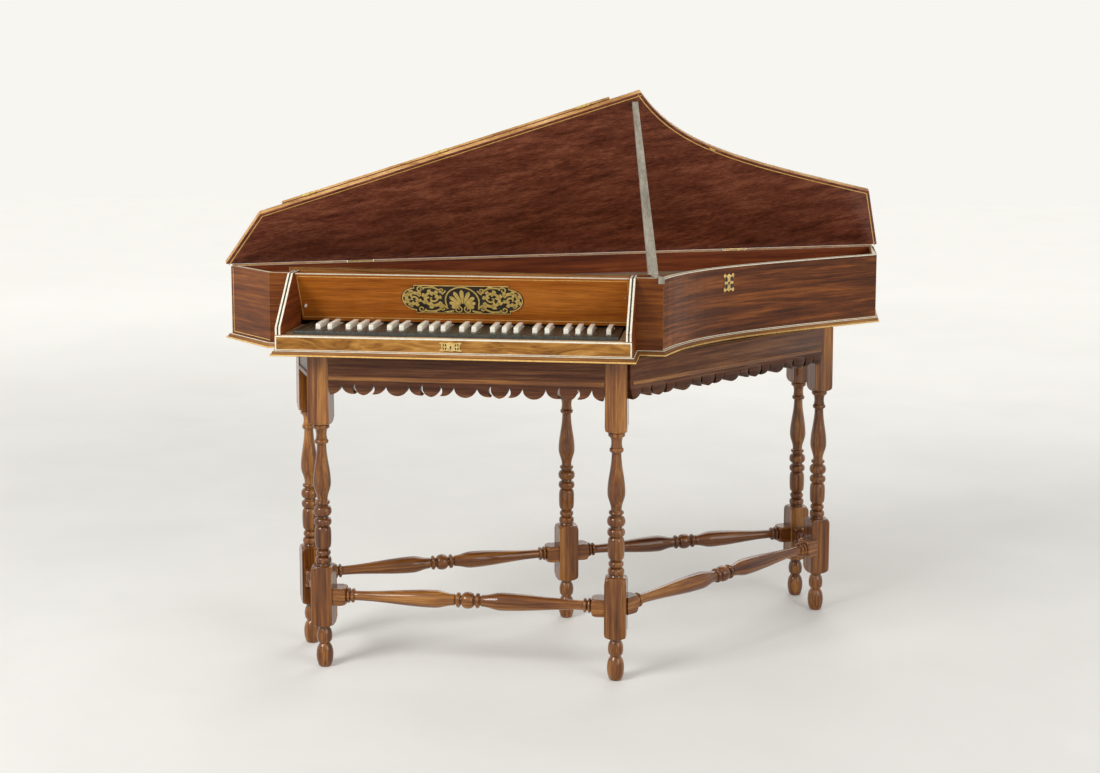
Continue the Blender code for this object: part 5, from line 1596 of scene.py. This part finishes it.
# %% Strings and tuning pins
STRINGS = 52
FIRST_STRING, STRING_SPREAD = 0.070, 0.720
PIN_BEHIND, PIN_STAGGER = -0.030, -0.012
SOUNDBOARD_TOP = 0.8263
STRING_LEVELS = (0.8420, 0.8388, 0.8330)
TUNING_PIN = [(0, 0.030), (0.0016, 0.030), (0.0020, 0.027), (0.0020, 0), (0, 0)]
BRIDGE_PULLS = [
    from_spine(0.872, 0.400), from_spine(0.930, 0.300), from_spine(1.100, 0.240), from_spine(1.440, 0.105),
]
BRIDGE = bezier(BRIDGE_PULLS, 60)
strings, pins = bmesh.new(), bmesh.new()
for number in range(STRINGS):
    share = number / (STRINGS - 1)
    x = FIRST_STRING + STRING_SPREAD * share
    start = plan(x, jack_y(x) + PIN_BEHIND + PIN_STAGGER * (number % 2))
    end = BRIDGE[round((1 - share) * 54) + 3]
    beyond = end + (end - start).normalized() * 0.022
    points = [Vector((*point, level)) for point, level in zip((start, end, beyond), STRING_LEVELS)]
    add_ribbon(strings, points, lambda index: UP, 0.0006, 0.0006)
    add_spin(pins, TUNING_PIN, 8, Matrix.Translation((*start, SOUNDBOARD_TOP)))
piece("strings", strings, steel, "case")
piece("tuning_pins", pins, steel, "case")
print("strings:", STRINGS)

# %% [markdown]
# ## The lid's edges
# The lid is a thin board whose edges stand a little over the case. Years of handling have rounded them, so a
# nosing runs round them as a swept section, in a pale wood that paints the highlight they catch. Under the
# overhang runs a gilt line. An open lid stands at an angle that is hard to draw at, so its pieces are drawn
# as it lies closed and are then turned up about the hinge line. Their meshes turn, and not their objects, so
# that the grain turns with them.

# %% Where the open lid stands
LID_OPEN = math.radians(49.2)
HINGE_OUT = 0.0036
HINGE_LEVEL = CASE_TOP + 0.0002


def lid_place():
    """Turns pieces made for the closed lid to where the open lid stands at rest."""
    pivot = Vector((*(SPINE_LEFT - FORWARD * HINGE_OUT), HINGE_LEVEL))
    turn = Matrix.Rotation(-LID_OPEN, 4, Vector((*ALONG, 0)))
    return Matrix.Translation(pivot) @ turn @ Matrix.Translation(-pivot)


OPENED = lid_place()
print("lid opens by", round(math.degrees(LID_OPEN), 1), "degrees")

# %% Outline of the lid
LID = 0.013
LID_LOW = CASE_TOP + GAP
LID_OVERHANG = 0.010
LID_FRONT_OVERHANG = 0.004


def meet(point_a, direction_a, point_b, direction_b):
    """Where two plan lines cross."""
    side = right_of(direction_b)
    return point_a + direction_a * ((point_b - point_a).dot(side) / direction_a.dot(side))


def lid_outline():
    """The lid's plan outline as it lies closed, from its bass back corner round to its tail."""
    case = [SPINE_LEFT, CORNER] + BENTSIDE + [SPINE_RIGHT]
    ends = [point + move * LID_OVERHANG for point, move in zip(case, miters(case, True))]
    front, level = plan(0, -LID_FRONT_OVERHANG), Vector((1, 0))
    left_side = (CORNER - SPINE_LEFT).normalized()
    tail_side = (SPINE_RIGHT - BENTSIDE[-1]).normalized()
    bent_side = (ends[3] - ends[2]).normalized()
    back_left = meet(SPINE_LEFT, ALONG, ends[1], left_side)
    front_left = meet(front, level, ends[1], left_side)
    front_right = meet(front, level, ends[2], bent_side)
    back_right = meet(SPINE_LEFT, ALONG, ends[-1], tail_side)
    return [back_left, front_left, front_right, *ends[3:-1], back_right]


lid_edge = lid_outline()
print("lid edge points:", len(lid_edge))

# %% Edges of the lid
NOSING = [
    (-0.0004, 0.0015), (0.0002, 0.0022), (0.0004, 0.0045),
    (0.0004, 0.0085), (0.0002, 0.0108), (-0.0004, 0.0115),
]
UNDER_LINE = [(-0.0085, -0.00008), (-0.0060, -0.00008), (-0.0060, 0.0002), (-0.0085, 0.0002)]


def lid_strip(name, points, section, material):
    work = bmesh.new()
    add_sweep(work, points, LID_LOW, section)
    piece(name, work, material, "lid", OPENED)


# The pale nosing paints the highlight along the lid's rounded edges.
lid_strip("lid_nosing", lid_edge, NOSING, edge_wood_painted_highlight)
lid_strip("lid_line_front", lid_edge[:3], UNDER_LINE, gold_line)
lid_strip("lid_line_side", lid_edge[2:], UNDER_LINE, gold_line)
print("lid strips: 3")

# %% [markdown]
# ## The lid's back edge and the flap
# Between the two brass hinges a wooden bead fills the gap over the spine. A square strip would catch on the
# lid, so the bead is turned about the hinge line, and the lid clears it at every angle. The flap's sawn edges
# get thin strips of their own in the nosing's pale wood, a painted highlight, which ride with the flap.

# %% Bead between the hinges
BEAD_RUNS = ((0.003, 0.268), (0.332, 1.218), (1.282, 1.633))
BEAD_NECK, BEAD_RADIUS = 0.0022, 0.0029
lying = Matrix.Rotation(SPINE_ANGLE, 4, "Z") @ Matrix.Rotation(math.pi / 2, 4, "Y")
work = bmesh.new()
for start, end in BEAD_RUNS:
    half = (end - start) / 2
    upper = [(0, half), (BEAD_NECK, half), (BEAD_RADIUS, half - 0.001)]
    section = upper + [(radius, -along) for radius, along in reversed(upper)]
    middle = from_spine((start + end) / 2, -HINGE_OUT)
    add_spin(work, section, 16, Matrix.Translation((*middle, HINGE_LEVEL)) @ lying)
piece("hinge_bead", work, edge_wood_painted_highlight, "case")
print("runs of bead:", len(BEAD_RUNS))

# %% Edges of the flap
FLAP_BACK = 0.150
FLAP_END_GAP = 0.0015
FLAP_MIDDLE = 0.0063
EDGE_BAND = 0.0090
flap_y = plan(0, -LID_FRONT_OVERHANG - HINGE_OUT).y
flap_z = LID_LOW + LID + 0.0002
flap_ends = plan(KEYBOX_LEFT + FLAP_END_GAP, 0).x, plan(KEYBOX_RIGHT - FLAP_END_GAP, 0).x
work = bmesh.new()
front_edge = [Vector((x, flap_y + HINGE_OUT, flap_z + 0.0040)) for x in flap_ends]
add_ribbon(work, front_edge, lambda index: Vector((0, -1, 0)), 0.0062, THIN)
for x, out in ((flap_ends[0] - 0.0005, -1), (flap_ends[1] + 0.0005, 1)):
    side_edge = [Vector((x, flap_y + y, flap_z + FLAP_MIDDLE)) for y in (0.010, 0.148)]
    add_ribbon(work, side_edge, lambda index, out=out: Vector((out, 0, 0)), EDGE_BAND, INLAY)
back_edge = [Vector((x, flap_y + FLAP_BACK, flap_z + FLAP_MIDDLE)) for x in flap_ends]
add_ribbon(work, back_edge, lambda index: Vector((0, 1, 0)), EDGE_BAND, INLAY)
piece("flap_edges", work, edge_wood_painted_highlight, "flap", OPENED)
print("flap:", round(flap_ends[1] - flap_ends[0], 3), "m wide")

# %% [markdown]
# ## The staple of the side lock
# The lock on the bentside holds the lid by a small brass staple, a tongue with a flat foot under the lid's
# overhang above the plate. One outline with a thickness could give it, but not the foot's greater width, so
# it is two boxes with softened edges.

# %% Staple
STAPLE_OUT = 0.0060


def add_box(work, size, place, rounding, segments=2):
    """A box with rounded edges."""
    part = bmesh.new()
    bmesh.ops.create_cube(part, size=1)
    bmesh.ops.scale(part, vec=size, verts=part.verts)
    bmesh.ops.bevel(part, geom=part.edges[:], offset=rounding, segments=segments, profile=0.5, affect="EDGES",
                    material=-1)
    join(work, part, place)


staple_middle = lock_middle + right_of(lock_way) * STAPLE_OUT
staple_turn = Matrix.Rotation(math.atan2(lock_way.y, lock_way.x), 4, "Z")
staple_place = Matrix.Translation((*staple_middle, LID_LOW - 0.0030)) @ staple_turn
work = bmesh.new()
add_box(work, (0.014, 0.0020, 0.0062), staple_place, 0.0006)
add_box(work, (0.022, 0.0050, 0.0008), staple_place @ Matrix.Translation((0, -0.0006, 0.0025)), 0.0002)
piece("lid_staple", work, brass, "lid", OPENED)
print("staple under the lid:", round(LID_LOW, 4), "m up")

# %% [markdown]
# ## Finishes for the solids that stay
# The boards of the case, the lid and the flap already have their real shape in the frame, so they need a
# finish and no new mesh. A table of names and woods is easier to check against the object than a line of
# code for each. The hinges are brass, and the rails without an apron take the darker rail walnut, painted
# shade under the case, like the others.

# %% Dress the solids that stay
FINISHES = {
    "lid": lid_wood, "flap": lid_wood, "prop_stick": grey_wood,
    "soundboard": spruce, "wrest_plank": plain_wood, "bridge": leg_wood,
    "jack_rail": moulding_wood, "jack_row": plain_wood, "key_frame": plain_wood,
    "nameboard": name_wood, "lock_board": lock_burl, "base_moulding": moulding_wood,
    "left_end": end_wood, "front_panel_left": end_wood, "front_panel_right": end_wood,
    "bentside": case_wood, "tail_wall": end_wood, "spine_wall": spine_wood,
    "cheek_left": spine_wood, "cheek_right": spine_wood, "bottom_board": plain_wood,
}
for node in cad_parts:
    if node in FINISHES:
        material = FINISHES[node]
    elif node.startswith("rail_"):
        material = rail_wood_painted_shade
    elif "hinge" in node:
        material = brass
    else:
        continue
    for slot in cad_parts[node].material_slots:
        slot.material = material
print("named finishes:", len(FINISHES))

# %% [markdown]
# ## Floor
# A wide pale floor catches the shadow, which shows that the legs stand on something. It lies a hair under
# the feet, so that the two never flicker.

# %% Floor
FLOOR_REACH = 14
floor_mesh = bpy.data.meshes.new("floor")
work = bmesh.new()
bmesh.ops.create_grid(work, x_segments=1, y_segments=1, size=FLOOR_REACH)
work.to_mesh(floor_mesh)
work.free()
floor = bpy.data.objects.new("floor", floor_mesh)
floor.location.z = -0.0005
floor_mesh.materials.append(floor_paint)
scene.collection.objects.link(floor)
print("floor:", FLOOR_REACH * 2, "m across")
